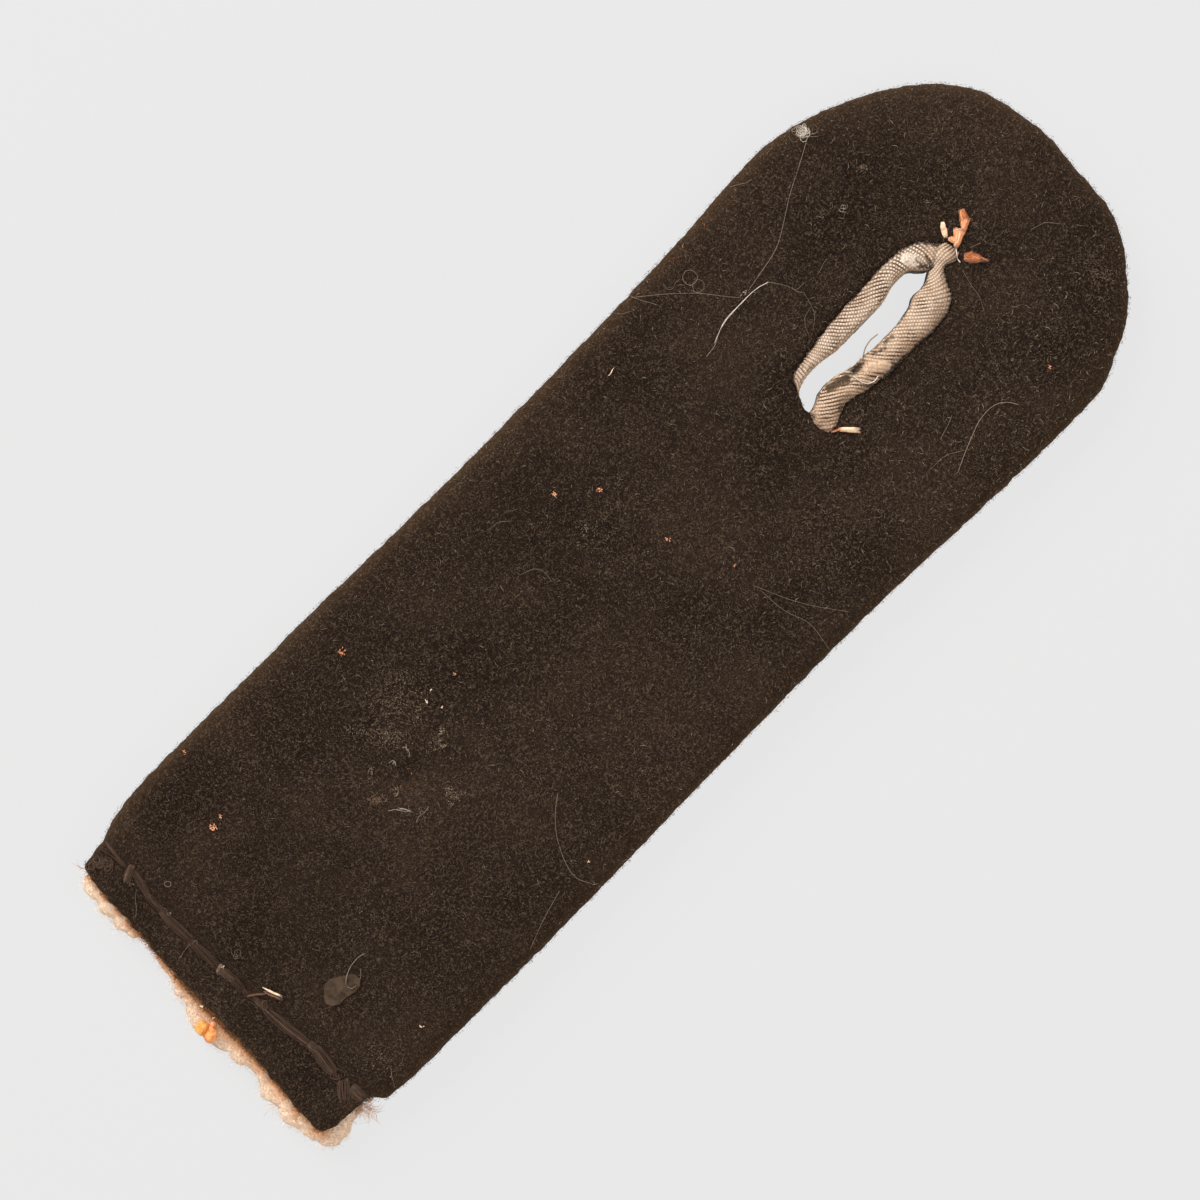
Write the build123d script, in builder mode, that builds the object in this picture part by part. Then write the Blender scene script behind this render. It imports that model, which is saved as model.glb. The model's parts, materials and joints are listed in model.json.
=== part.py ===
from build123d import *
import os
from math import cos, radians, sin

# A sew-in shoulder board: a padded strap of black wool with a round button end.
# It lies on its underside. +Y runs along the strap to the button end, +X is its
# right side and +Z points up through the face. The origin is under the middle.

# Driving sizes, in millimetres
WALL = 1.2             # thickness of the wool cloth
GAP = 0.1              # free play between two pieces
BODY_THICK = 4.4       # cloth, felt and cloth at the middle of the strap
CROWN = 0.35           # how much higher the middle of the face stands than its sides
CROWN_HALF = 20.0      # half width over which the crown falls
FACE_ROUND = 1.8       # radius of the rolled edge on the face
BACK_ROUND = 1.1       # radius of the rolled edge on the underside
CORNER_ROUND = 2.4     # corners of the body at the seam
HEAD_Y = 41.8          # y of the middle of the round end
HEAD_X = 0.1           # x of the middle of the round end

# The seam pulls the layers together, and they open again towards the raw end
SEAM_LEFT_Y = -55.7
SEAM_RIGHT_Y = -54.8
SEAM_HALF = 18.2
SEAM_THICK = 3.2
RAW_THICK = 3.9
TONGUE_ROOT = 3.0      # how far the layers run on inside the body, past the seam
TONGUE_SWELL = 2.6     # how far past the seam the tongue has its full thickness
TONGUE_STEP = 0.4      # the hollow opens to the right this far past the seam
RAW_CORNER_LEFT = 0.8  # how far before the raw edge the tongue's left side turns in
RAW_CORNER_RIGHT = 1.2
LONG = 70.0            # longer than half of the strap, for cutting

# The buttonhole's lips stand a little above the face
LIP_RISE = 0.5
LIP_OUTER_ROUND = 0.6  # rolled edge beside the cloth
LIP_SLOT_ROUND = 0.4   # rolled edge at the slot
HOLE_STEPS = 48        # points that carry each closed line round the buttonhole

# The long sides. Columns: y, half width to the left, half width to the right
SIDES = [
    (-52.8, 19.6, 19.5),
    (-49.2, 20.05, 19.95),
    (-41.2, 20.1, 20.0),
    (-26.2, 20.0, 20.0),
    (-11.2, 19.75, 19.8),
    (3.8, 19.6, 19.6),
    (16.8, 19.8, 19.7),
    (28.8, 20.15, 20.15),
    (36.8, 20.65, 20.5),
]

# The round end, pleated into slight flats. Columns: degrees from +X, radius
HEAD = [
    (0, 20.5),
    (24, 21.0),
    (46, 21.15),
    (68, 20.65),
    (84, 19.9),
    (97, 19.95),
    (115, 20.75),
    (135, 20.4),
    (155, 20.0),
    (180, 20.7),
]

# The raw end. Columns: x, y of the cut cloth, y of the felt's ragged edge
RAW_END = [
    (-17.0, -58.6, -59.0),
    (-13.5, -58.9, -60.2),
    (-9.0, -59.1, -59.4),
    (-4.0, -59.5, -60.1),
    (1.5, -59.7, -61.8),
    (7.5, -59.8, -60.9),
    (13.0, -60.3, -61.6),
    (17.1, -60.5, -61.5),
]

# The tongue past the seam, as x to the left and right: inside the body, at the seam
# and near the raw end
CLOTH_TONGUE = [(-18.0, 17.6), (-18.8, 18.2), (-18.3, 17.9)]
FELT_TONGUE = [(-17.1, 17.0), (-17.1, 18.7), (-17.1, 19.2)]
MOUTH = [(-17.2, 17.1), (-17.2, LONG), (-17.2, LONG)]

# The buttonhole. Columns: y, binding's left edge, slot's left, slot's right, binding's right
LIPS = [
    (26.6, -2.35, -1.15, 0.8, 3.6),
    (28.6, -2.75, -1.45, 0.45, 3.2),
    (31.0, -3.2, -1.25, 0.95, 3.55),
    (34.2, -3.5, -1.05, 1.25, 4.1),
    (37.2, -3.65, -1.1, 1.25, 4.1),
    (40.2, -3.8, -1.8, 0.75, 4.15),
    (42.0, -3.85, -1.65, 0.4, 3.95),
]
SLOT_FOOT = [(-0.6, 25.3), (0.4, 24.9), (1.1, 25.4)]
SLOT_TOP = [(0.1, 43.1), (-0.6, 43.6), (-1.3, 43.1)]
BINDING_FOOT = [(-1.5, 24.6), (0.4, 23.6), (2.6, 23.8), (3.7, 24.9)]
BINDING_TOP = [(3.2, 43.6), (2.0, 44.9), (1.3, 46.3), (0.0, 47.2), (-1.4, 46.5), (-3.0, 44.9)]

# Hollows pressed into the face. Columns: x, y, radius of the hollow, depth
DENTS = [
    (-7.6, -24.7, 3.0, 0.3),
    (-1.6, -30.0, 1.1, 0.35),
    (-1.1, -4.2, 2.6, 0.25),
]


def seam_y(x):
    """Where the slightly slanted seam lies at x."""
    return SEAM_LEFT_Y + (SEAM_RIGHT_Y - SEAM_LEFT_Y) * (x + SEAM_HALF) / (2 * SEAM_HALF)


def body_outline(inset):
    """The strap from the seam to the button end, drawn smaller by inset."""
    right = [(half_right - inset, y) for y, half_left, half_right in SIDES]
    left = [(inset - half_left, y) for y, half_left, half_right in reversed(SIDES)]
    head = []
    for degrees, radius in HEAD:
        across = (radius - inset) * cos(radians(degrees))
        along = (radius - inset) * sin(radians(degrees))
        head.append((HEAD_X + across, HEAD_Y + along))
    start = (SEAM_HALF - inset, seam_y(SEAM_HALF) + inset)
    end = (inset - SEAM_HALF, seam_y(-SEAM_HALF) + inset)
    with BuildSketch() as outline:
        with BuildLine():
            edge = Spline([start] + right + head + left + [end])
            Line(edge @ 1, edge @ 0)
        make_face()
        corners = outline.vertices().sort_by(Axis.Y)[:2]
        fillet(corners, radius=CORNER_ROUND - inset)
    return outline.sketch


def padded_body(inset):
    """The crowned strap with its rolled edges, smaller by inset on every side."""
    top = BODY_THICK - inset
    reach = CROWN_HALF + WALL
    with BuildPart() as form:
        with BuildSketch(Plane.XZ.offset(-LONG)):
            with BuildLine():
                arch = ThreePointArc((-reach, top - CROWN), (0, top), (reach, top - CROWN))
                Polyline(arch @ 1, (reach, inset), (-reach, inset), arch @ 0)
            make_face()
        extrude(amount=2 * LONG)
        extrude(body_outline(inset), amount=BODY_THICK, mode=Mode.INTERSECT)
        fillet(form.faces().sort_by(Axis.Z)[-1].edges(), radius=FACE_ROUND - inset)
        if inset < BACK_ROUND:
            fillet(form.faces().sort_by(Axis.Z)[0].edges(), radius=BACK_ROUND - inset)
    return form.part


def tongue_outline(widths, raw_edge):
    """The tongue seen from above: its root in the body, the seam and the raw edge."""
    root, seam, end = widths
    with BuildSketch() as outline:
        with BuildLine():
            raw = Spline(raw_edge)
            Polyline(
                raw @ 1,
                (end[1], raw_edge[-1][1] + RAW_CORNER_RIGHT),
                (seam[1], seam_y(SEAM_HALF) - TONGUE_STEP),
                (root[1], seam_y(SEAM_HALF) - TONGUE_STEP),
                (root[1], seam_y(SEAM_HALF) + TONGUE_ROOT),
                (root[0], seam_y(-SEAM_HALF) + TONGUE_ROOT),
                (seam[0], seam_y(-SEAM_HALF)),
                (end[0], raw_edge[0][1] + RAW_CORNER_LEFT),
                raw @ 0,
            )
        make_face()
    return outline.sketch


def tongue(outline, inset):
    """The thin layers past the seam, smaller by inset above and below."""
    root_y = SEAM_RIGHT_Y + TONGUE_ROOT
    swell_y = SEAM_LEFT_Y - TONGUE_SWELL
    with BuildPart() as form:
        with BuildSketch(Plane.YZ.offset(-LONG)):
            with BuildLine():
                root = Line((root_y, SEAM_THICK - inset), (SEAM_LEFT_Y, SEAM_THICK - inset))
                rise = Spline(
                    [root @ 1, (swell_y, RAW_THICK - inset)], tangents=[(-1, 0), (-1, 0)]
                )
                Polyline(
                    rise @ 1, (-LONG, RAW_THICK - inset), (-LONG, inset), (root_y, inset), root @ 0
                )
            make_face()
        extrude(amount=2 * LONG)
        extrude(outline, amount=RAW_THICK, mode=Mode.INTERSECT)
    return form.part


def buttonhole_outline(foot, top, left_column, right_column, grow=0):
    """A closed smooth line up the right side of the buttonhole and down its left."""
    right = [(row[right_column], row[0]) for row in LIPS]
    left = [(row[left_column], row[0]) for row in reversed(LIPS)]
    with BuildSketch() as outline:
        with BuildLine():
            rim = Spline(foot + right + top + left, periodic=True, mode=Mode.PRIVATE)
            points = []
            for step in range(HOLE_STEPS):
                share = step / HOLE_STEPS
                outwards = (rim % share).rotate(Axis.Z, -90)
                points.append(rim @ share + outwards * grow)
            Spline(points, periodic=True)
        make_face()
    return outline.sketch


cloth_edge = [(x, cloth_y) for x, cloth_y, felt_y in RAW_END]
felt_edge = [(x, felt_y) for x, cloth_y, felt_y in RAW_END]
mouth_edge = [(MOUTH[2][0], -LONG), (LONG, -LONG)]
slot_outline = buttonhole_outline(SLOT_FOOT, SLOT_TOP, 2, 3)
binding_outline = buttonhole_outline(BINDING_FOOT, BINDING_TOP, 1, 4)
cover_hole = buttonhole_outline(BINDING_FOOT, BINDING_TOP, 1, 4, grow=GAP)
core_hole = buttonhole_outline(BINDING_FOOT, BINDING_TOP, 1, 4, grow=2 * GAP)

# Cover: two layers of wool joined round the edge, open at the raw end
body = padded_body(0)
body_hollow = padded_body(WALL)
mouth = tongue(tongue_outline(MOUTH, mouth_edge), WALL)
with BuildPart() as cover:
    add(tongue(tongue_outline(CLOTH_TONGUE, cloth_edge), 0))
    add(body)
    for x, y, radius, depth in DENTS:
        ball = (radius**2 + depth**2) / (2 * depth)
        with Locations((x, y, BODY_THICK - depth + ball)):
            Sphere(ball, mode=Mode.SUBTRACT)
    add(body_hollow, mode=Mode.SUBTRACT)
    add(mouth, mode=Mode.SUBTRACT)
    extrude(cover_hole, amount=BODY_THICK, mode=Mode.SUBTRACT)
cover.part.label = "cover"

# Core: the felt padding, a little smaller than the hollow, ragged at the raw end
felt_body = padded_body(WALL + GAP)
felt_tongue = tongue(tongue_outline(FELT_TONGUE, felt_edge), WALL + GAP)
with BuildPart() as core:
    add(felt_body)
    add(felt_tongue)
    extrude(core_hole, amount=BODY_THICK, mode=Mode.SUBTRACT)
core.part.label = "core"

# Buttonhole binding: a strip of twill rolled over the cut edge all round the slot
with BuildPart() as buttonhole_binding:
    extrude(binding_outline, amount=BODY_THICK + LIP_RISE)
    extrude(slot_outline, amount=BODY_THICK + LIP_RISE, mode=Mode.SUBTRACT)
    for side in (-1, 0):
        rims = buttonhole_binding.faces().sort_by(Axis.Z)[side].edges().sort_by(SortBy.LENGTH)
        fillet(rims[0], radius=LIP_SLOT_ROUND)
        rims = buttonhole_binding.faces().sort_by(Axis.Z)[side].edges().sort_by(SortBy.LENGTH)
        fillet(rims[-1], radius=LIP_OUTER_ROUND)
buttonhole_binding.part.label = "buttonhole_binding"

os.makedirs("parts", exist_ok=True)
export_step(cover.part, "parts/cover.step")
export_step(core.part, "parts/core.step")
export_step(buttonhole_binding.part, "parts/buttonhole_binding.step")
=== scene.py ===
# %% [markdown]
# A shoulder board is the stiff strap of cloth that a coat carries on its shoulder. This one is black wool
# over felt padding, with a round end, a buttonhole bound in twill, and a raw end where it was sewn in.
# The solids of the part come first, because everything that is modelled here has to sit on them.

import json
from math import cos, pi, radians, sin, tau

import bpy
import numpy as np
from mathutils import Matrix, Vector, noise
from mathutils.kdtree import KDTree

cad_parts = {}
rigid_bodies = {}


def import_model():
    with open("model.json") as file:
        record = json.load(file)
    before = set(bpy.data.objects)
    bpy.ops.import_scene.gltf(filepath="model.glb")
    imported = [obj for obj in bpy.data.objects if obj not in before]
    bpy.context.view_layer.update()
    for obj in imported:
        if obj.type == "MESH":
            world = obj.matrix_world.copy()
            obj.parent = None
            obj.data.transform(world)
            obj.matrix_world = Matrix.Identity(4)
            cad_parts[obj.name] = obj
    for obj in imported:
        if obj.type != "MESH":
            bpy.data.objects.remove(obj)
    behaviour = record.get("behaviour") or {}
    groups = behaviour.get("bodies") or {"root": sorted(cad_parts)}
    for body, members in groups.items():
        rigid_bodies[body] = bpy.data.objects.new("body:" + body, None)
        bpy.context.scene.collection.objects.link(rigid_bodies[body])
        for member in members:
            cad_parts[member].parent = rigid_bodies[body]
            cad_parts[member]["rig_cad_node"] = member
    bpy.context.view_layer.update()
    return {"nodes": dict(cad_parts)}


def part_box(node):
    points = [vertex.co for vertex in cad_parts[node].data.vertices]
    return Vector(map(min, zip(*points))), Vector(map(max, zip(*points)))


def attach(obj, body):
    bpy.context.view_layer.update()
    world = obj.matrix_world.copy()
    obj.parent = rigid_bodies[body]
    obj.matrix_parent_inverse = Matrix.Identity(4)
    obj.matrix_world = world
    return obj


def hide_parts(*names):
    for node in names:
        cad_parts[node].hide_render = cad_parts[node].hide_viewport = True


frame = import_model()
MM = 0.001
bpy.ops.object.select_all(action="DESELECT")
for node_name in sorted(frame["nodes"]):
    low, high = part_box(node_name)
    print(node_name, "measures", [round(side / MM, 1) for side in high - low], "mm")

# %% [markdown]
# Small things such as hairs and specks of dust have no place of their own on the solid. They are placed
# from the photograph, so one function turns a point of the photograph into a place on the strap.
# The photograph is 1200 pixels wide and shows 120 mm, and the strap runs up to its right corner.

# %% From the photograph to the strap
PHOTO_SIDE = 1200
PHOTO_WIDTH = 120.0
PIXEL = PHOTO_WIDTH / PHOTO_SIDE
STRAP_ANGLE = radians(45.226)
PHOTO_MIDDLE = (-0.41, -2.79)


def on_strap(px, py):
    """The x and y, in millimetres, of a point of the photograph."""
    right = (px - PHOTO_SIDE / 2) * PIXEL
    up = (PHOTO_SIDE / 2 - py) * PIXEL
    x = PHOTO_MIDDLE[0] + right * sin(STRAP_ANGLE) - up * cos(STRAP_ANGLE)
    y = PHOTO_MIDDLE[1] + right * cos(STRAP_ANGLE) + up * sin(STRAP_ANGLE)
    return x, y


print("The middle of the photograph is", on_strap(600, 600), "mm on the strap")

# %% [markdown]
# The camera looks straight down, turned about its own axis so that the strap lies as it does in the
# photograph. A long lens far away shows it almost without perspective, as the photograph does.

# %% Camera
LENS = 100.0
SENSOR = 36.0
FACE_HEIGHT = 4.4
camera_height = PHOTO_WIDTH * LENS / SENSOR + FACE_HEIGHT
bpy.ops.object.camera_add(
    location=(PHOTO_MIDDLE[0] * MM, PHOTO_MIDDLE[1] * MM, camera_height * MM),
    rotation=(0, 0, pi / 2 - STRAP_ANGLE),
)
camera = bpy.context.object
camera.data.lens = LENS
camera.data.sensor_width = SENSOR
camera.data.clip_start = 10 * MM
bpy.context.scene.camera = camera
print("The camera stands", round(camera_height), "mm above the floor")

# %% [markdown]
# The strap lies on a pale light table. Its glow reaches through the buttonhole from below and takes most of
# the shadow away, and it lights the fuzz along the edges. A soft lamp stands on the left side of the strap,
# low enough for the rolled lips of the buttonhole to throw a shadow to their right, and a larger one high
# up on the other side fills that shadow a little.

# %% Light
TABLE_SIZE = 4.0
TABLE_DROP = 0.05 * MM
LAMP_PLACE = Vector((-0.62, 0.05, 0.42))
LAMP_SIZE = 0.45
LAMP_POWER = 9.5
FILL_PLACE = Vector((0.35, 0.10, 0.75))
FILL_SIZE = 0.9
FILL_POWER = 5.2
SKY_COLOUR = (1.0, 0.98, 0.95, 1.0)
SKY_STRENGTH = 0.55

bpy.ops.mesh.primitive_plane_add(size=TABLE_SIZE, location=(0, 0, -TABLE_DROP))
light_table = bpy.context.object
light_table.name = "light_table"


def soft_lamp(name, place, size, power):
    """A square lamp that looks at the middle of the strap."""
    bpy.ops.object.light_add(type="AREA", location=place)
    lamp = bpy.context.object
    lamp.name = name
    lamp.rotation_euler = (-place).to_track_quat("-Z", "Y").to_euler()
    lamp.data.size = size
    lamp.data.energy = power
    return lamp


soft_lamp("key_lamp", LAMP_PLACE, LAMP_SIZE, LAMP_POWER)
soft_lamp("fill_lamp", FILL_PLACE, FILL_SIZE, FILL_POWER)
world = bpy.data.worlds.new("soft_room")
world.use_nodes = True
world.node_tree.nodes["Background"].inputs["Color"].default_value = SKY_COLOUR
world.node_tree.nodes["Background"].inputs["Strength"].default_value = SKY_STRENGTH
bpy.context.scene.world = world
bpy.context.scene.view_settings.view_transform = "Standard"

# %% [markdown]
# A finish is a small program of nodes. Written by hand, each node takes several lines, so one class wraps a
# socket: arithmetic on it adds Math nodes, and add() adds any other node with its settings and inputs.

# %% A socket that can be written with
MIX_FACTOR, MIX_A, MIX_B, MIX_COLOUR = 0, 6, 7, 2


class Socket:
    """An output socket of a node tree, to be used in expressions."""

    def __init__(self, tree, output=None):
        self.tree = tree
        self.output = output

    def add(self, kind, settings=None, inputs=None, output=0):
        """Any node, from its type, its settings, and the values or links of its inputs."""
        node = self.tree.nodes.new(kind)
        for name, value in (settings or {}).items():
            if name == "stops":
                fill_ramp(node.color_ramp, value)
            else:
                setattr(node, name, value)
        for name, value in (inputs or {}).items():
            if isinstance(value, Socket):
                self.tree.links.new(value.output, node.inputs[name])
            else:
                node.inputs[name].default_value = value
        return Socket(self.tree, node.outputs[output])

    def maths(self, operation, *values):
        return self.add("ShaderNodeMath", {"operation": operation}, dict(enumerate(values)))

    def __add__(self, other):
        return self.maths("ADD", self, other)

    def __radd__(self, other):
        return self.maths("ADD", other, self)

    def __sub__(self, other):
        return self.maths("SUBTRACT", self, other)

    def __rsub__(self, other):
        return self.maths("SUBTRACT", other, self)

    def __mul__(self, other):
        return self.maths("MULTIPLY", self, other)

    def __rmul__(self, other):
        return self.maths("MULTIPLY", other, self)

    def __abs__(self):
        return self.maths("ABSOLUTE", self)


def fill_ramp(ramp, stops):
    """Stops are pairs of a position and a colour."""
    while len(ramp.elements) < len(stops):
        ramp.elements.new(1.0)
    for element, (position, colour) in zip(ramp.elements, stops):
        element.position = position
        element.color = (*colour, 1.0)


def rising(value, low, high):
    """0 below low, 1 above high, and smooth in between. It falls if low is above high."""
    settings = {"interpolation_type": "SMOOTHSTEP"}
    inputs = {"Value": value, "From Min": low, "From Max": high}
    return value.add("ShaderNodeMapRange", settings, inputs)


def blend_colours(factor, first, second):
    """The first colour where factor is 0 and the second where it is 1."""
    inputs = {MIX_FACTOR: factor}
    for slot, colour in ((MIX_A, first), (MIX_B, second)):
        inputs[slot] = colour if isinstance(colour, Socket) else (*colour, 1.0)
    return factor.add("ShaderNodeMix", {"data_type": "RGBA"}, inputs, MIX_COLOUR)


def cloudy(place, size, detail=2.0):
    """Noise with features of that size, in millimetres, and values about a half."""
    inputs = {"Vector": place, "Scale": 1 / (size * MM), "Detail": detail}
    return place.add("ShaderNodeTexNoise", None, inputs, "Fac")


def curls(place, size, width):
    """Thin curly lines: they run where the noise crosses its middle value."""
    return rising(abs(cloudy(place, size, 1.0) - 0.5), width, 0.0)


# %% [markdown]
# Each finish then starts the same way: a new material, its Principled shader, and the two coordinates that
# stay fixed to the cloth, which are the place in the object and values painted on the mesh.

# %% Start a finish
SHEEN_ROUGHNESS = 0.45


def start_finish(name, roughness, sheen=0.0, sheen_colour=(1, 1, 1), shine=0.2):
    """A material, its Principled shader and a socket for building on."""
    material = bpy.data.materials.new(name)
    material.use_nodes = True
    shader = material.node_tree.nodes["Principled BSDF"]
    shader.inputs["Roughness"].default_value = roughness
    shader.inputs["Specular IOR Level"].default_value = shine
    shader.inputs["Sheen Weight"].default_value = sheen
    shader.inputs["Sheen Roughness"].default_value = SHEEN_ROUGHNESS
    shader.inputs["Sheen Tint"].default_value = (*sheen_colour, 1.0)
    return material, shader, Socket(material.node_tree)


def place_in_object(start):
    return start.add("ShaderNodeTexCoord", None, None, "Object")


def painted(start, name):
    """A value that was painted on the mesh under that name."""
    return start.add("ShaderNodeAttribute", {"attribute_name": name}, None, "Fac")


def plug(value, shader, name):
    value.tree.links.new(value.output, shader.inputs[name])


def raise_bumps(height, shader, depth):
    """Depth is what a height of 1 stands above the surface, in millimetres."""
    inputs = {"Height": height, "Distance": depth * MM, "Strength": 1.0}
    plug(height.add("ShaderNodeBump", None, inputs), shader, "Normal")


# %% [markdown]
# The light table is a pale board that glows by itself, with a faint cloudy grain. The glow gives the
# photograph's even pale ground, and the board below it is dark, so that the lamps leave no bright patch.

# %% Table finish
TABLE_COLOUR = (0.03, 0.03, 0.03)
TABLE_GLOW = 0.75
TABLE_GRAIN = 40.0
GRAIN_SHADE = 0.97
table_finish, shader, start = start_finish("pale_board", 0.9)
grain = cloudy(place_in_object(start), TABLE_GRAIN)
shaded = [GRAIN_SHADE * value for value in TABLE_COLOUR]
plug(blend_colours(grain, TABLE_COLOUR, shaded), shader, "Base Color")
shader.inputs["Emission Color"].default_value = (1.0, 1.0, 1.0, 1.0)
shader.inputs["Emission Strength"].default_value = TABLE_GLOW
light_table.data.materials.append(table_finish)

# %% [markdown]
# The wool cloth was woven, then felted and cropped, so its weave hides under a mat of curly fibres. Seen
# close it is never one black: fibres catch the light as grey-brown curls and specks, the edges are painted
# browner as painted light where the rounded edge catches the lamp and the glow of the table, and dust has
# settled in places. The hollows between the grains are painted darker, as painted shade. The longer fibres
# become real strands further down. The finish paints the finest ones and the ground below them.

# %% Wool finish
WOOL_DARK = (0.0080, 0.0042, 0.0024)
WOOL_BROWN = (0.0180, 0.0103, 0.0061)
WOOL_LIT_RIM = (0.034, 0.0175, 0.0070)
WOOL_FIBRE = (0.095, 0.061, 0.040)
WOOL_DUST = (0.15, 0.100, 0.062)
WOOL_RUST = (0.16, 0.060, 0.018)
WOOL_HOLLOW_SHADE = 0.35
WEAVE_PITCH = 0.42
WEAVE_SHARE = 0.12
WOOL_DEPTH = 0.14


def woven(place, pitch):
    """A plain weave: threads go over and under each other like the squares of a chessboard."""
    x, y = [
        place.add("ShaderNodeSeparateXYZ", None, {"Vector": place}, axis) * (pi / (pitch * MM))
        for axis in "XY"
    ]
    return x.maths("SINE", x + y) * x.maths("SINE", x - y)


def wool_finish():
    material, shader, start = start_finish("felted_wool", 0.92, 0.12, (0.60, 0.36, 0.21), 0.07)
    place = place_in_object(start)
    patches = rising(cloudy(place, 9.0, 2.0), 0.30, 0.75)
    clumps = cloudy(place, 0.42, 2.0)
    grains = cloudy(place, 0.15, 1.0)
    lines = curls(place, 0.55, 0.030)
    ground = blend_colours(patches, WOOL_DARK, WOOL_BROWN)
    # Painted shade: the hollows between the grains are darker.
    hollow_shade = [WOOL_HOLLOW_SHADE * value for value in WOOL_DARK]
    ground = blend_colours(rising(grains, 0.50, 0.30) * 0.6, ground, hollow_shade)
    # Painted light: browner towards the outline, where the rounded edge catches the light.
    ground = blend_colours(painted(start, "rim") * 0.6, ground, WOOL_LIT_RIM)
    frayed = painted(start, "rust") + (grains - 0.5) * 0.8
    ground = blend_colours(rising(frayed, 0.35, 0.85), ground, WOOL_RUST)
    fibres = rising(clumps, 0.25, 0.70) * (lines * 0.35 + rising(grains, 0.52, 0.76) * 0.75)
    coat = blend_colours(fibres, ground, WOOL_FIBRE)
    dust = painted(start, "dust") * rising(grains + clumps * 0.7, 0.86, 1.04) * 0.7
    plug(blend_colours(dust, coat, WOOL_DUST), shader, "Base Color")
    weave = woven(place, WEAVE_PITCH) * WEAVE_SHARE
    raise_bumps(clumps * 0.6 + grains * 0.7 + weave, shader, WOOL_DEPTH)
    return material


felted_wool = wool_finish()

# %% [markdown]
# The wool cover is the first piece. Modelling it again from nothing would only repeat the solid, so it
# starts as a copy of that. The copy's triangles are apart at their corners, so these are merged first.

# %% Copy a solid as a skin
WELD = 0.002


def take(piece):
    """Make a piece the only one that is selected, and the active one."""
    bpy.ops.object.select_all(action="DESELECT")
    piece.select_set(True)
    bpy.context.view_layer.objects.active = piece


def copy_of_solid(node_name, name):
    """A copy of a solid's mesh, as a piece of its own with its triangles joined up."""
    piece = bpy.data.objects.new(name, frame["nodes"][node_name].data.copy())
    bpy.context.scene.collection.objects.link(piece)
    piece.data.materials.clear()
    take(piece)
    bpy.ops.object.mode_set(mode="EDIT")
    bpy.ops.mesh.select_all(action="SELECT")
    bpy.ops.mesh.remove_doubles(threshold=WELD * MM)
    bpy.ops.object.mode_set(mode="OBJECT")
    return piece


def finish_modifier(piece, kind, **settings):
    """Add a modifier, set it and apply it."""
    modifier = piece.modifiers.new(kind.lower(), kind)
    for name, value in settings.items():
        setattr(modifier, name, value)
    take(piece)
    bpy.ops.object.modifier_apply(modifier=modifier.name)


def points_of(piece):
    """The places of a piece's points in millimetres, one row each."""
    flat = np.empty(len(piece.data.vertices) * 3, np.float32)
    piece.data.vertices.foreach_get("co", flat)
    return flat.reshape(-1, 3).astype(float) / MM


def normals_of(piece):
    flat = np.empty(len(piece.data.vertices) * 3, np.float32)
    piece.data.vertices.foreach_get("normal", flat)
    return flat.reshape(-1, 3).astype(float)


def move_points(piece, points):
    piece.data.vertices.foreach_set("co", (points * MM).astype(np.float32).ravel())
    piece.data.update()


def paint(piece, name, values):
    """Keep one number for each point of a piece, for its finish to read."""
    layer = piece.data.attributes.new(name, "FLOAT", "POINT")
    layer.data.foreach_set("value", np.asarray(values, np.float32))


def triangles_in(piece):
    return sum(len(polygon.vertices) - 2 for polygon in piece.data.polygons)


def plate(corners, thickness):
    """A flat plate with its corners in metres, which rises by its thickness in mm above them."""
    bpy.ops.mesh.primitive_circle_add(vertices=len(corners), radius=MM, fill_type="NGON")
    piece = bpy.context.object
    for vertex, corner in zip(piece.data.vertices, corners):
        vertex.co = corner
    bpy.ops.object.mode_set(mode="EDIT")
    bpy.ops.mesh.select_all(action="SELECT")
    bpy.ops.mesh.extrude_region_move(TRANSFORM_OT_translate={"value": (0, 0, thickness * MM)})
    bpy.ops.mesh.select_all(action="SELECT")
    bpy.ops.mesh.normals_make_consistent(inside=False)
    bpy.ops.object.mode_set(mode="OBJECT")
    return piece


def join_onto(piece, others):
    """Make the other pieces part of this one."""
    take(piece)
    for other in others:
        other.select_set(True)
    bpy.ops.object.join()


# %% [markdown]
# At both ends of the buttonhole the dark cloth comes closer to the slot than it does in the solid. A small
# pad is joined to the copy at each end, before anything else is done to it.

# %% Pads where the cloth meets the slot
PADS = [
    # px, py of each corner, one list for each pad
    [
        (792, 384), (797, 390), (799.5, 397), (801, 404), (805, 410.5), (811, 415.5), (820, 424),
        (833, 434), (837, 440), (826, 445), (810, 440), (796, 428), (786, 412), (784, 394),
    ],
    [(940, 266), (950, 258), (962, 256), (972, 264), (968, 282), (960, 300), (950, 303), (945, 284)],
]
PAD_FOOT = 0.1
PAD_HEIGHT = 4.25


def pad(outline):
    """A flat pad whose outline is given in pixels of the photograph."""
    places = [on_strap(px, py) for px, py in outline]
    return plate([(x * MM, y * MM, PAD_FOOT * MM) for x, y in places], PAD_HEIGHT)


cover = copy_of_solid("cover", "wool_cover")
join_onto(cover, [pad(outline) for outline in PADS])

# %% [markdown]
# A voxel remesh turns the copy into an even net of small faces that can be pushed about like cloth, and
# welds the pads to it as one skin. Its voxels are half a millimetre, because the wall of the cloth is
# little more than a millimetre thick. A light smoothing takes the steps away that the voxels leave.

# %% Remesh the cover
COVER_VOXEL = 0.5
finish_modifier(cover, "REMESH", mode="VOXEL", voxel_size=COVER_VOXEL * MM)
finish_modifier(cover, "SMOOTH", factor=0.5, iterations=1)
print("The cover has", triangles_in(cover), "triangles")

# %% [markdown]
# Cloth is never as even as its solid. It could be draped by simulation, but this strap lies pressed flat,
# so what is left are moves of the kind that a sculptor makes with a soft brush. These are the brushes:
# smooth noise, a round spot, a straight mark, and a pull that drags an area along.

# %% Sculpting helpers
RAY_START = 20


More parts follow.
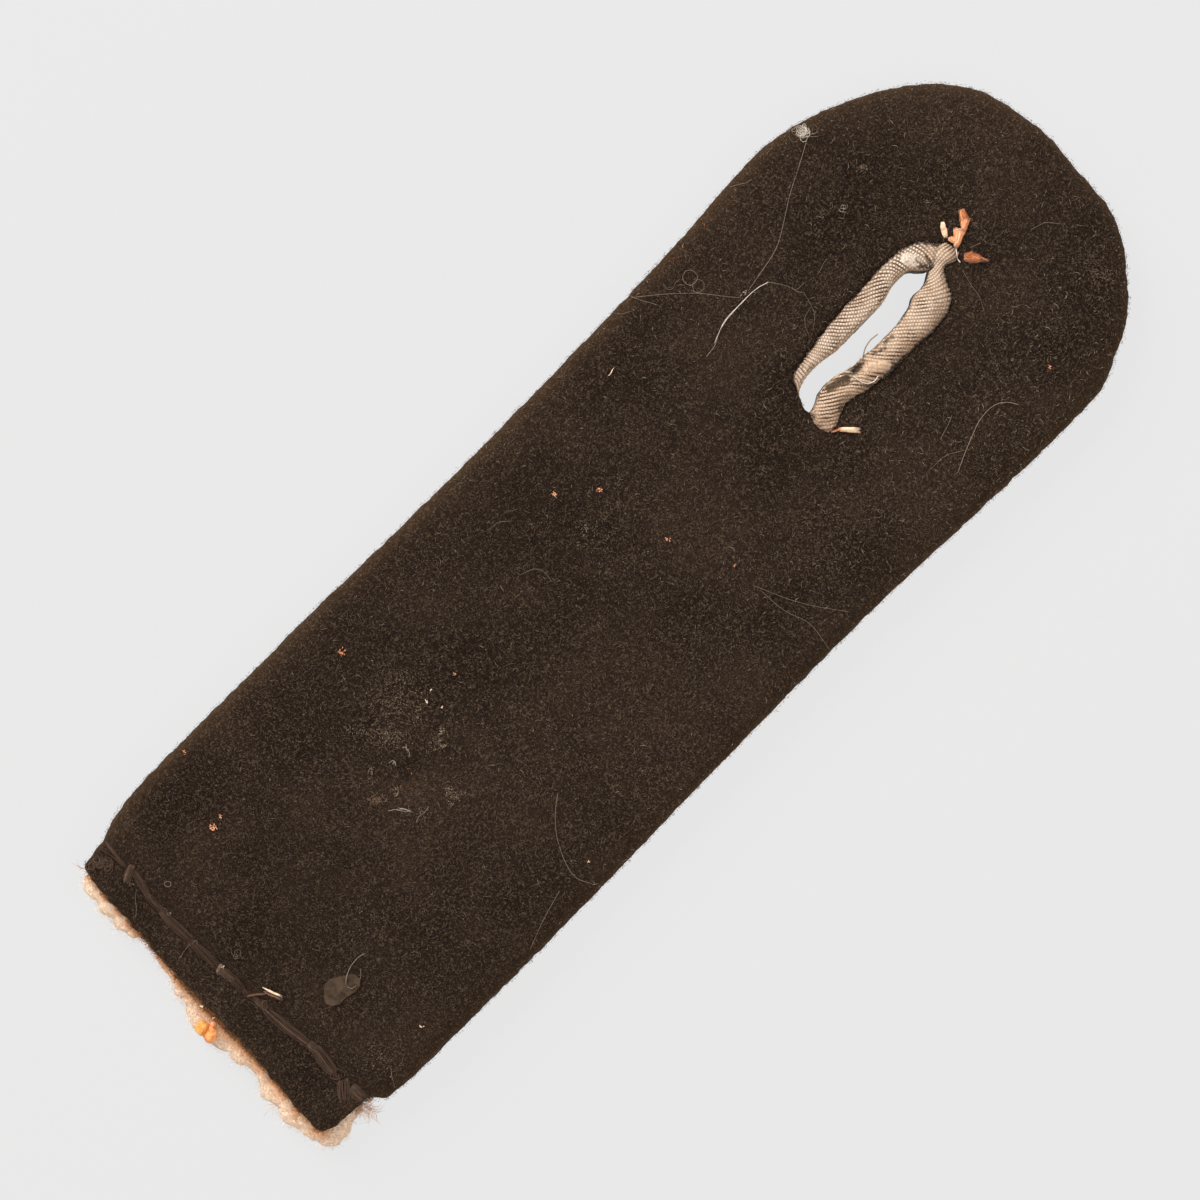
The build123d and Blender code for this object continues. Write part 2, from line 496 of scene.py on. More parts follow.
def ramp(values, low, high):
    """0 below low, 1 above high, and smooth in between, for arrays."""
    part = np.clip((values - low) / (high - low), 0, 1)
    return part * part * (3 - 2 * part)


def clouds_at(points, size, seed):
    """Smooth noise from about -1 to 1 with features of that size, one value for each point."""
    away = Vector((seed * 17.3, seed * 5.1, seed * 9.7))
    return np.array([noise.noise(Vector(point) / size + away) for point in points])


def spot_at(points, px, py, radius):
    """1 at a point of the photograph and 0 farther than the radius, given in pixels."""
    x, y = on_strap(px, py)
    away = np.hypot(points[:, 0] - x, points[:, 1] - y) / (radius * PIXEL)
    return 1 - ramp(away, 0, 1)


def mark_at(points, px, py, to_px, to_py, radius):
    """1 on a line between two points of the photograph and 0 farther from it than the radius, in pixels."""
    start = np.array(on_strap(px, py))
    way = np.array(on_strap(to_px, to_py)) - start
    share = np.clip((points[:, :2] - start) @ way / max(way @ way, 1e-9), 0, 1)
    away = np.linalg.norm(points[:, :2] - start - share[:, None] * way, axis=1)
    return 1 - ramp(away / (radius * PIXEL), 0, 1)


def unit(vectors):
    """The same vectors, each 1 long."""
    return vectors / np.maximum(np.linalg.norm(vectors, axis=-1, keepdims=True), 1e-9)


def keep_above(points, height):
    """Lift what would reach below that height, in millimetres."""
    points[..., 2] = np.maximum(points[..., 2], height)


def seen_from_above(piece, x, y):
    """Where a plumb line at a place in millimetres first meets a piece, or None."""
    hit, place, _, _ = piece.ray_cast(Vector((x, y, RAY_START)) * MM, Vector((0, 0, -1)))
    return place if hit else None


def pull(points, moves):
    """Drag the points round each place by so many pixels to the right and down, as a grab brush does."""
    for px, py, radius, right, down in moves:
        start = np.array(on_strap(px, py))
        drag = np.array(on_strap(px + right, py + down)) - start
        points[:, :2] += drag * spot_at(points, px, py, radius)[:, None]


# %% [markdown]
# The cover gets slow waves and small lumps all over, and bumps along its edges. Wear has left a pit in its
# face, with crumbs of dirt round it, and a shallow dent farther up. The seam pulls the layers together in
# a furrow. The corners of the raw end and the right side of the round end are dragged to where the
# photograph has them. The underside stays flat on the table.

# %% Sculpt the cover
COVER_PULLS = [
    # px, py, radius, right, down, all in pixels
    (88, 869, 14, -2, 1),
    (384, 1093, 13, 1, 4),
    (1045, 135, 50, 2, -2),
    (1110, 225, 60, 3, -1),
    (1118, 310, 50, 2, 0),
    (1100, 388, 45, 3, 2),
]
SEAM_KNOTS = [
    # px, py of the seam's turns, from left to right
    (103, 843), (128, 872), (165, 912), (190, 940), (220, 970), (250, 992), (262, 1005), (305, 1045),
    (314, 1056), (338, 1082), (350, 1095), (367, 1107),
]
DENTS = [
    # px, py, radius in pixels, depth in mm, which is below 0 for a crumb
    (412, 776, 22, 0.75),
    (402, 792, 12, 0.30),
    (437, 742, 11, -0.22),
    (453, 796, 11, -0.22),
    (376, 802, 9, -0.25),
    (397, 792, 7, -0.25),
    (398, 810, 9, -0.22),
    (585, 603, 30, 0.28),
    (612, 640, 18, 0.15),
    (392, 1090, 14, 0.45),
]
WAVES = [
    # size in mm, depth in mm
    (9.0, 0.16),
    (3.0, 0.07),
    (1.1, 0.045),
]
PLUMPER = 0.10
EDGE_LUMP_SIZE = 0.9
EDGE_LUMPS = 0.15
CUT_ZONE = (-57.0, -55.5)
CUT_LUMP_SIZE = 0.9
CUT_LUMPS = 0.16
FACE_ZONE = (2.4, 3.6)
FURROW_DEPTH = 0.30
FURROW_WIDTH = 0.8
UNDERSIDE_TOP = 0.8
REST_HEIGHT = 0.02

seam = np.array([on_strap(px, py) for px, py in SEAM_KNOTS])
points = points_of(cover)
normals = normals_of(cover)
flatness = ramp(np.abs(normals[:, 2]), 0.4, 0.9)
level = 0.35 + 0.65 * flatness
on_side = 1 - flatness
points += normals * (PLUMPER * on_side)[:, None]
points += normals * (EDGE_LUMPS * on_side * clouds_at(points, EDGE_LUMP_SIZE, 9))[:, None]
for seed, (size, depth) in enumerate(WAVES):
    points += normals * (clouds_at(points, size, seed) * depth * level)[:, None]
pull(points, COVER_PULLS)
at_cut = 1 - ramp(points[:, 1], *CUT_ZONE)
points += normals * (at_cut * clouds_at(points, CUT_LUMP_SIZE, 8) * CUT_LUMPS)[:, None]
facing = ramp(points[:, 2], *FACE_ZONE) * ramp(normals[:, 2], -0.2, 0.4)
for px, py, radius, depth in DENTS:
    points[:, 2] -= depth * facing * spot_at(points, px, py, radius)
from_seam = (points[:, 1] - np.interp(points[:, 0], seam[:, 0], seam[:, 1])) / FURROW_WIDTH
points[:, 2] -= FURROW_DEPTH * facing * np.exp(-from_seam * from_seam)
underside = (normals[:, 2] < -0.7) & (points[:, 2] < UNDERSIDE_TOP)
points[underside, 2] = REST_HEIGHT
keep_above(points, REST_HEIGHT)
move_points(cover, points)
bpy.ops.object.shade_smooth()
print("The cover now reaches up to", round(points[:, 2].max(), 2), "mm")

# %% [markdown]
# Three values are painted on the cover for its finish. The rim is painted light: a browner tint close to
# the outline, where the rounded edge catches the lamp and the glow of the table. The rust is the bare brown
# of the cut edge and of a few stains. The dust lies in patches, mostly round the pit. The outline itself is
# read from the mesh: its points look away from the middle line of the strap and have nothing of the cover
# beside them.

# %% Paint the rim, the rust and the dust
MIDDLE_LINE = (-50.0, 42.0)
EDGE_HEIGHTS = (0.9, 3.5)
RIM_WIDTH = 0.8
NARROW_RIM = 0.3 * RIM_WIDTH
RAW_PART = -50.0
TONGUE_START = RAW_PART - 4
CUT_PART = -57.2
CUT_HALF = 17.4
RUST_WIDTH = 0.22
SLOT_MIDDLE = (0.0, 36.0)
SLOT_REACH = 14.0
OUT_STEP = 0.8
DUST = [
    # px, py, radius in pixels, strength
    (396, 700, 46, 0.55),
    (380, 728, 34, 0.50),
    (437, 740, 11, 0.7),
    (452, 796, 11, 0.7),
    (374, 800, 12, 0.9),
    (396, 792, 10, 0.7),
    (1100, 278, 26, 0.4),
    (865, 168, 10, 0.6),
    (600, 560, 60, 0.15),
    (690, 640, 70, 0.12),
    (990, 150, 60, 0.15),
]
STAINS = [
    # px, py, radius in pixels, strength
    (402, 788, 17, 0.45),
    (704, 219, 9, 0.45),
    (673, 258, 9, 0.45),
]


def looks_out(points, normals):
    """Which points of a skin look away from the middle line of the strap."""
    middle = np.clip(points[:, 1], *MIDDLE_LINE)
    away = np.stack([points[:, 0], points[:, 1] - middle], axis=1)
    return (unit(away) * normals[:, :2]).sum(axis=1)


def near_points(spots, points):
    """How far each point is from the nearest spot, seen from above, in millimetres."""
    tree = KDTree(len(spots))
    for index, spot in enumerate(spots):
        tree.insert((spot[0], spot[1], 0), index)
    tree.balance()
    return np.array([tree.find((point[0], point[1], 0))[2] for point in points])


def stands_free(points, normals):
    """Whether there is nothing of the cover a little way out from each point, seen from above."""
    free = np.zeros(len(points), bool)
    for index in np.nonzero(looks_out(points, normals) > 0.6)[0]:
        away = points[index, :2] + normals[index, :2] * OUT_STEP
        if np.hypot(away[0] - SLOT_MIDDLE[0], away[1] - SLOT_MIDDLE[1]) > SLOT_REACH:
            free[index] = seen_from_above(cover, *away) is None
    return free


normals = normals_of(cover)
at_edge = (points[:, 2] > EDGE_HEIGHTS[0]) & (points[:, 2] < EDGE_HEIGHTS[1])
outline = points[at_edge & stands_free(points, normals)]
rim_width = np.where(points[:, 1] < TONGUE_START, NARROW_RIM, RIM_WIDTH)
# Painted light on the rounded edge, fading in from the outline.
rim = np.exp(-near_points(outline, points) / rim_width)
cloth_end = outline[(outline[:, 1] < CUT_PART) & (np.abs(outline[:, 0]) < CUT_HALF)]
rust = np.exp(-near_points(cloth_end, points) / RUST_WIDTH) * (points[:, 1] < CUT_PART)
for px, py, radius, strength in STAINS:
    rust = np.maximum(rust, strength * spot_at(points, px, py, radius))
dusty = 0.10 + 0.10 * clouds_at(points, 12.0, 5)
for px, py, radius, strength in DUST:
    dusty = np.maximum(dusty, strength * spot_at(points, px, py, radius))
paint(cover, "rim", rim)
paint(cover, "rust", rust)
paint(cover, "dust", np.clip(dusty, 0, 1))
cover.data.materials.append(felted_wool)
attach(cover, "root")
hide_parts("cover")
print("The outline has", len(outline), "points")

# %% [markdown]
# The padding is loose felt, pale and pinkish, stained orange where it comes out from under the cloth. The
# light of the table passes through it there, which a faint glow stands for. Farther out from the cloth the
# felt is painted paler, partly its own colour and partly painted light, where the thin felt lets the light
# through.

# %% Felt finish
FELT_PALE = (0.60, 0.435, 0.312)
FELT_PINK = (0.52, 0.290, 0.165)
FELT_ORANGE = (0.22, 0.080, 0.024)
FELT_GLOW = 0.22
FELT_DEPTH = 0.30
BARE_WIDTH = 1.1
PINK_SIDE = (-10.0, 2.0)
PINKER = 0.35


def felt_finish():
    material, shader, start = start_finish("loose_felt", 0.95, 0.1, (1.0, 0.8, 0.7), 0.05)
    place = place_in_object(start)
    tufts = cloudy(place, 0.8, 3.0)
    hairs = curls(place, 0.30, 0.06)
    bare = painted(start, "bare") + (tufts - 0.5) * 0.9
    colour = blend_colours(rising(bare, -0.15, 0.22), FELT_ORANGE, FELT_PINK)
    # Partly painted light: paler farther out, where the thin felt lets the table's light through.
    colour = blend_colours(rising(bare, 0.25, 0.85), colour, FELT_PALE)
    colour = blend_colours(hairs * 0.22, colour, FELT_ORANGE)
    plug(colour, shader, "Base Color")
    plug(colour, shader, "Emission Color")
    shader.inputs["Emission Strength"].default_value = FELT_GLOW
    raise_bumps(tufts + cloudy(place, 0.25, 2.0) * 0.5 - hairs * 0.2, shader, FELT_DEPTH)
    return material


def bare_at(points):
    """How far out of the cloth the felt is, from 0 to 1, and less so on the side where it stays pink."""
    pink = 1 - PINKER * ramp(points[:, 0], *PINK_SIDE)
    return near_points(cloth_end, points) / BARE_WIDTH * pink


# %% [markdown]
# The core starts as a copy of its solid too. It shows only at the raw end, so only that part is divided
# further and made lumpy. Its ragged edge follows the photograph, which a row of small pulls sees to.

# %% Felt core
CORE_PULLS = [
    # px, py, radius, right, down, all in pixels
    (84, 876, 12, -5, -4),
    (90, 884, 18, -9, -3),
    (104, 906, 16, -6, 3),
    (120, 924, 12, -7, 5),
    (142, 944, 16, 3, -4),
    (190, 1004, 16, -3, 1),
    (200, 1022, 18, -6, 3),
    (214, 1042, 14, -3, 2),
    (236, 1062, 16, -3, 2),
    (268, 1094, 20, -7, 4),
    (290, 1118, 18, -4, 4),
    (318, 1140, 18, -2, 6),
    (336, 1144, 14, 6, 4),
    (343, 1134, 12, 6, 3),
    (184, 1005, 16, 5, -3),
    (268, 1095, 12, 3, -4),
    (312, 1144, 12, 2, -4),
    (97, 905, 12, 4, -2),
    (356, 1112, 10, 4, 4),
    (352, 1118, 12, 7, -3),
]
CORE_WAVES = [
    # size in mm, depth in mm
    (2.2, 0.35),
    (0.8, 0.22),
    (0.35, 0.10),
]
CORE_VOXEL = 0.9
CORE_REACH = 0.50
REACH_ZONE = (56.5, 58.5)
CORE_FOOT = 0.1
core = copy_of_solid("core", "felt_core")
finish_modifier(core, "REMESH", mode="VOXEL", voxel_size=CORE_VOXEL * MM)
take(core)
for polygon in core.data.polygons:
    polygon.select = polygon.center.y < RAW_PART * MM
bpy.ops.object.mode_set(mode="EDIT")
bpy.ops.mesh.select_mode(type="FACE")
bpy.ops.mesh.subdivide(number_cuts=2)
bpy.ops.object.mode_set(mode="OBJECT")
points = points_of(core)
normals = normals_of(core)
raw = 1 - ramp(points[:, 1], RAW_PART - 3, RAW_PART)
for seed, (size, depth) in enumerate(CORE_WAVES, 20):
    points += normals * (raw * clouds_at(points, size, seed) * depth)[:, None]
points[:, 1] -= CORE_REACH * ramp(-points[:, 1], *REACH_ZONE)
pull(points, CORE_PULLS)
keep_above(points, CORE_FOOT)
move_points(core, points)
take(core)
bpy.ops.object.shade_smooth()
paint(core, "bare", np.clip(bare_at(points), 0, 1))
core.data.materials.append(felt_finish())
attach(core, "root")
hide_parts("core")
print("The core has", triangles_in(core), "triangles")

# %% [markdown]
# The buttonhole is faced with a strip of twill that was rolled over the cut edge on both sides. Each lip is
# a roll that changes its width all along, and the ribs of the twill cross it at an angle that turns with
# the pull of the stitches. A table follows each lip from its lower end: where it meets the slot and where
# it meets the cloth, in pixels of the photograph, how the ribs lean there, and how pale the twill is.

# %% The two lips
RIGHT_LIP = [
    # slot px, slot py, cloth px, cloth py, lean of the ribs in degrees, pale
    (810, 414, 812, 421, -12, 0.25),
    (816, 405, 823, 431, 0, 0.35),
    (819, 395, 834, 432, 8, 0.45),
    (824, 386, 840, 417, 16, 0.40),
    (832, 379, 844, 404, 14, 0.35),
    (845, 372, 855, 397, 2, 0.40),
    (856, 365, 866, 390, -12, 0.30),
    (866, 354, 879, 380, -8, 0.30),
    (878, 345, 892, 366, -2, 0.40),
    (887, 336, 906, 354, 2, 0.45),
    (896, 327, 921, 339, 0, 0.55),
    (905, 316, 935, 327, 3, 0.60),
    (912, 305, 946, 312, 5, 0.60),
    (915, 293, 952, 300, 7, 0.55),
    (924, 287, 949, 290, 18, 0.50),
    (929, 276, 944, 275, 48, 0.55),
    (932, 266, 943, 266, 60, 0.50),
    (934, 256, 951, 263, 42, 0.50),
    (938, 246, 957, 261, 36, 0.45),
    (946, 241, 960, 252, 40, 0.30),
]
LEFT_LIP = [
    # slot px, slot py, cloth px, cloth py, lean of the ribs in degrees, pale
    (799, 396, 797, 389, -75, 0.45),
    (801, 386, 794, 381, -68, 0.55),
    (805, 378, 798, 370, -55, 0.65),
    (811, 370, 804, 361, -42, 0.70),
    (823, 359, 811, 351, -18, 0.75),
    (835, 351, 821, 336, -8, 0.80),
    (847, 339, 834, 321, 0, 0.80),
    (858, 328, 846, 307, 5, 0.75),
    (870, 315, 855, 298, 14, 0.75),
    (881, 305, 866, 286, 22, 0.75),
    (887, 295, 876, 275, 14, 0.80),
    (894, 283, 887, 264, -10, 0.90),
    (902, 275, 896, 255, -42, 1.00),
    (909, 269, 907, 247, -28, 1.00),
    (918, 270, 918, 244, -36, 0.90),
    (930, 269, 933, 246, -55, 0.60),
    (936, 262, 941, 247, -60, 0.40),
]
PINCHES = [
    # from px, py, to px, py, radius in pixels, depth in mm
    (830, 391, 848, 380, 7, 0.55),
    (855, 371, 861, 365, 8, 1.10),
    (823, 388, 837, 376, 3, -0.15),
    (837, 376, 850, 373, 3, -0.15),
    (868, 366, 885, 364, 10, -0.30),
    (868, 379, 874, 378, 4, 0.20),
    (887, 340, 888, 340, 6, 0.40),
    (843, 402, 849, 398, 6, 0.35),
    (938, 264, 939, 264, 7, 0.30),
    (826, 424, 827, 424, 8, 0.20),
    (812, 368, 813, 368, 6, 0.20),
    (930, 305, 931, 305, 12, -0.15),
    (917, 260, 921, 264, 3, 0.25),
    (926, 257, 930, 263, 3, 0.25),
    (923, 267, 932, 268, 5, 0.30),
    (905, 256, 910, 258, 9, -0.15),
]
WORN = [
    # from px, py, to px, py, radius in pixels, strength
    (906, 259, 913, 261, 11, 1.0),
    (868, 368, 886, 366, 9, 1.2),
]
# Spots of painted shade in the holes, notches and hollows of the lips.
SHADED_SPOTS = [
    # from px, py, to px, py, radius in pixels, strength
    (855, 371, 860, 366, 8, 1.05),
    (860, 366, 863, 363, 5, 0.85),
    (873, 354, 884, 349, 6, 0.75),
    (884, 343, 892, 337, 6, 0.80),
    (916, 261, 921, 264, 4, 0.80),
    (926, 257, 930, 263, 4, 0.90),
    (920, 267, 932, 266, 7, 0.85),
    (862, 386, 872, 386, 7, 0.80),
    (840, 409, 841, 406, 6, 0.9),
    (812, 416, 813, 417, 8, 0.8),
    (800, 392, 801, 392, 5, 0.8),
    (936, 270, 937, 270, 3, 0.6),
    (842, 386, 852, 382, 3, 0.8),
]
OLIVE = [
    # from px, py, to px, py, radius in pixels, strength
    (830, 388, 846, 379, 7, 1.5),
]
LIP_STEPS = 330
OVER, OUTSIDE, UNDER, INSIDE = 50, 4, 3, 17
SHOULDER = 4.05
LIP_FOOT = 0.1
SLOT_ZONE = (2.4, 4.3)
CREST = 1.00
TUCKED_UNDER = 0.7
END_ROUNDING = 0.7
FULL_WIDTH = 1.3
LIP_WELD = 0.005
RIB_PITCH = 0.36
USUAL_WIDTH = 2.2
RIB_DEPTH = 0.075
BEAD_PITCH = 0.29
SMOOTHING = 17
LEAN_SMOOTHING = 31
LEAN_COLUMN = 4
PALE_COLUMN = 5


def distance_along(points):
    """How far along a path each of its points is."""
    return np.concatenate([[0], np.cumsum(np.linalg.norm(np.diff(points, axis=0), axis=1))])


def smoothed(values, window):
    """A running mean of an odd number of values."""
    padded = np.pad(values, window // 2, mode="reflect", reflect_type="odd")
    return np.convolve(padded, np.ones(window) / window, mode="valid")


def even_steps(rows, count):
    """A table followed in even steps along the lip, with its corners rounded."""
    table = np.array(rows, float)
    travelled = distance_along((table[:, 0:2] + table[:, 2:4]) / 2)
    steps = np.linspace(0, travelled[-1], count)
    smooth = []
    for number, column in enumerate(table.T):
        window = LEAN_SMOOTHING if number == LEAN_COLUMN else SMOOTHING
        smooth.append(smoothed(np.interp(steps, travelled, column), window))
    return np.array(smooth).T


# %% [markdown]
# Round a lip once and it goes up the wall of the slot, over the crest, down under the cloth and back along
# the bottom. A grid of faces is rolled into that shape and its long edges are merged. The ribs are a wave
# that travels at right angles to their lean, and where they run along the lip they crowd together as it
# narrows. Each rib is a row of stitches of the weave, which show as beads: a second wave along the ribs.
# Both phases are painted on, so that the finish can draw the same ribs that the mesh raises.

# %% Roll a lip
def section_round_lip():
    """Four values for each step round a lip: its share across, its height, its crest, its extra reach."""
    over = np.linspace(0, pi, OVER + 1)
    inside = np.linspace(LIP_FOOT, SHOULDER, INSIDE, endpoint=False)
    outside = np.linspace(SHOULDER - 0.3, LIP_FOOT, OUTSIDE)
    under = np.linspace(1, 0, UNDER + 1)[1:]
    share = [0 * inside, (1 - np.cos(over)) / 2, outside * 0 + 1, under]
    height = [inside, SHOULDER + 0 * over, outside, LIP_FOOT + 0 * under]
    crest = [0 * inside, np.sin(over) ** 0.7, 0 * outside, 0 * under]
    reach = [0 * inside, 0 * over, TUCKED_UNDER + 0 * outside, TUCKED_UNDER * under]
    return [np.concatenate(part) for part in (share, height, crest, reach)]


def wave_phase(middle, across, away, width, direction, pitch):
    """The phase of a wave that travels in a direction, over the steps along a lip and across it."""
    crossing = (across * direction).sum(axis=1)
    pitches = pitch * np.minimum(width / USUAL_WIDTH, 1) ** (crossing * crossing)
    growth = (np.diff(middle, axis=0) * direction[1:]).sum(axis=1) / pitches[1:]
    along = np.concatenate([[0], np.cumsum(growth)])
    return along[:, None] + away * (crossing / pitches)[:, None]


def rib_waves(phase, bead):
    """How high the ribs and their beads stand, from 0 to 1."""
    rib = np.abs(np.sin(pi * phase)) ** 0.6
    beads = np.abs(np.sin(pi * (bead + 0.5 * np.floor(phase)))) ** 0.5
    return rib * (0.72 + 0.28 * beads)


def shape_lip(steps, section):
    """The places in mm of a lip's grid, how far sideways each is, and the phases of its ribs and beads."""
    slot_edge = np.array([on_strap(px, py) for px, py in steps[:, 0:2]])
    cloth_edge = np.array([on_strap(px, py) for px, py in steps[:, 2:4]])
    width = np.linalg.norm(cloth_edge - slot_edge, axis=1)
    across = (cloth_edge - slot_edge) / width[:, None]
    middle = (slot_edge + cloth_edge) / 2
    travelled = distance_along(middle)
    from_end = np.minimum(travelled, travelled[-1] - travelled)
    swell = np.sqrt(np.clip(from_end / END_ROUNDING, 0, 1)) * np.minimum(1, width / FULL_WIDTH)
    swell *= 0.9 + 0.25 * clouds_at(np.column_stack([middle, 0 * width]), 2.5, 31)
    share, height, crest, reach = section
    sideways = share[None, :] * width[:, None] + reach[None, :]
    upward = height[None, :] + CREST * crest[None, :] * swell[:, None]
    x = slot_edge[:, 0:1] + across[:, 0:1] * sideways
    y = slot_edge[:, 1:2] + across[:, 1:2] * sideways

    lean = np.radians(steps[:, LEAN_COLUMN])[:, None]
    rightwards = np.array([sin(STRAP_ANGLE), cos(STRAP_ANGLE)])
    upwards = np.array([-cos(STRAP_ANGLE), sin(STRAP_ANGLE)])
    wall = (SHOULDER - height) * np.where(share < 0.5, -1, 1)
    away = (share[None, :] - 0.5) * width[:, None] + wall[None, :]
    over_ribs = upwards * np.cos(lean) - rightwards * np.sin(lean)
    along_ribs = rightwards * np.cos(lean) + upwards * np.sin(lean)
    phase = wave_phase(middle, across, away, width, over_ribs, RIB_PITCH)
    bead = wave_phase(middle, across, away, width, along_ribs, BEAD_PITCH)
    return np.stack([x, y, upward], axis=-1), sideways, width, phase, bead


def roll_lip(name, table, hem, shade):
    """A closed roll of twill with the phases of its ribs painted on.

    Hem is how far its hem lies from the slot in mm, and shade how much painted shade its outer side gets."""
    steps = even_steps(table, LIP_STEPS + 1)
    section = section_round_lip()
    places, sideways, width, phase, bead = shape_lip(steps, section)
    count = len(section[0]) - 1
    bpy.ops.mesh.primitive_grid_add(x_subdivisions=LIP_STEPS, y_subdivisions=count, size=1)
    lip = bpy.context.object
    lip.name = name
    grid = points_of(lip) * MM + 0.5
    row = np.rint(grid[:, 0] * LIP_STEPS).astype(int)
    column = np.rint(grid[:, 1] * count).astype(int)
    move_points(lip, places[row, column])
    paint(lip, "phase", phase[row, column])
    paint(lip, "bead", bead[row, column])
    paint(lip, "pale", steps[row, PALE_COLUMN])
    share_across = sideways / width[:, None]
    # Painted shade where the lip meets the cloth and on its outer wall.
    paint(lip, "dirt", ramp(share_across, 0.92, 1.05)[row, column])
    # Painted shade on the outer side of the lip.
    paint(lip, "shade", shade * ramp(share_across, 0.50, 1.0)[row, column])
    paint(lip, "from_slot", (sideways - hem)[row, column])
    take(lip)
    bpy.ops.object.mode_set(mode="EDIT")
    bpy.ops.mesh.select_all(action="SELECT")
    bpy.ops.mesh.remove_doubles(threshold=LIP_WELD * MM)
    bpy.ops.mesh.fill_holes(sides=0)
    bpy.ops.mesh.select_all(action="SELECT")
    bpy.ops.mesh.normals_make_consistent(inside=False)
    bpy.ops.object.mode_set(mode="OBJECT")
    return lip


def values_of(piece, name):
    layer = piece.data.attributes[name]
    values = np.empty(len(layer.data), np.float32)
    layer.data.foreach_get("value", values)
    return values.astype(float)


def marked(points, rows):
    """The strongest of several marks at each point."""
    strengths = [row[5] * mark_at(points, *row[:5]) for row in rows]
    return np.max(strengths, axis=0)


def raise_ribs(lip):
    """Fold and pinch a lip, then raise its ribs."""
    points = points_of(lip)
    normals = normals_of(lip)
    folds = clouds_at(points, 1.6, 41) * 0.13 + clouds_at(points, 0.6, 42) * 0.05
    points += normals * folds[:, None]
    facing = ramp(points[:, 2], SHOULDER - 1, SHOULDER)
    for row in PINCHES:
        points[:, 2] -= row[5] * facing * mark_at(points, *row[:5])
    worn = marked(points, WORN)
    waves = rib_waves(values_of(lip, "phase"), values_of(lip, "bead"))
    points += normals * (RIB_DEPTH * (1 - 0.75 * worn) * (waves - 0.5))[:, None]
    points += normals * (clouds_at(points, 0.22, 43) * 0.03)[:, None]
    keep_above(points, LIP_FOOT / 2)
    move_points(lip, points)
    paint(lip, "worn", worn)
    olive = marked(points, OLIVE)
    # Painted shade: darker low in the slot, less so on the olive fold, and darker still in the shaded
    # spots.
    deep = 0.9 * (1 - ramp(points[:, 2], *SLOT_ZONE)) * (1 - 0.8 * np.minimum(olive, 1))
    dirt = np.maximum(values_of(lip, "dirt") + deep, marked(points, SHADED_SPOTS))
    lip.data.attributes["dirt"].data.foreach_set("value", dirt.astype(np.float32))
    paint(lip, "olive", olive)
    take(lip)
    bpy.ops.object.shade_smooth()


lips = [
    # name, table, hem in mm, shade
    roll_lip("twill_lips", RIGHT_LIP, 0.02, 0.60),
    roll_lip("left_lip", LEFT_LIP, 0.28, 0.30),
]
for lip in lips:
    raise_ribs(lip)
    print(lip.name, "has", triangles_in(lip), "triangles")

# %% [markdown]
# The twill has pale threads with brown, dirty gaps between them. It is paler on the left lip than on the
# right one, which gets painted shade towards its outer side. Where it is worn the ribs are rubbed flat and
# cracked, and an old fold shows olive. Painted shade darkens the lips where they meet the cloth, towards
# the bottom of the slot and in their holes and hollows.

# %% Twill finish
TWILL_PALE = (0.72, 0.585, 0.455)
TWILL_TAN = (0.40, 0.235, 0.130)
TWILL_SHADE = (0.20, 0.100, 0.048)
TWILL_WORN = (0.58, 0.475, 0.38)
TWILL_PINK = (0.52, 0.345, 0.230)
TWILL_GAP = (0.070, 0.034, 0.0165)
TWILL_DARK_SHADE = (0.024, 0.0125, 0.0065)
TWILL_OLIVE = (0.085, 0.053, 0.027)
TWILL_DEPTH = 0.04


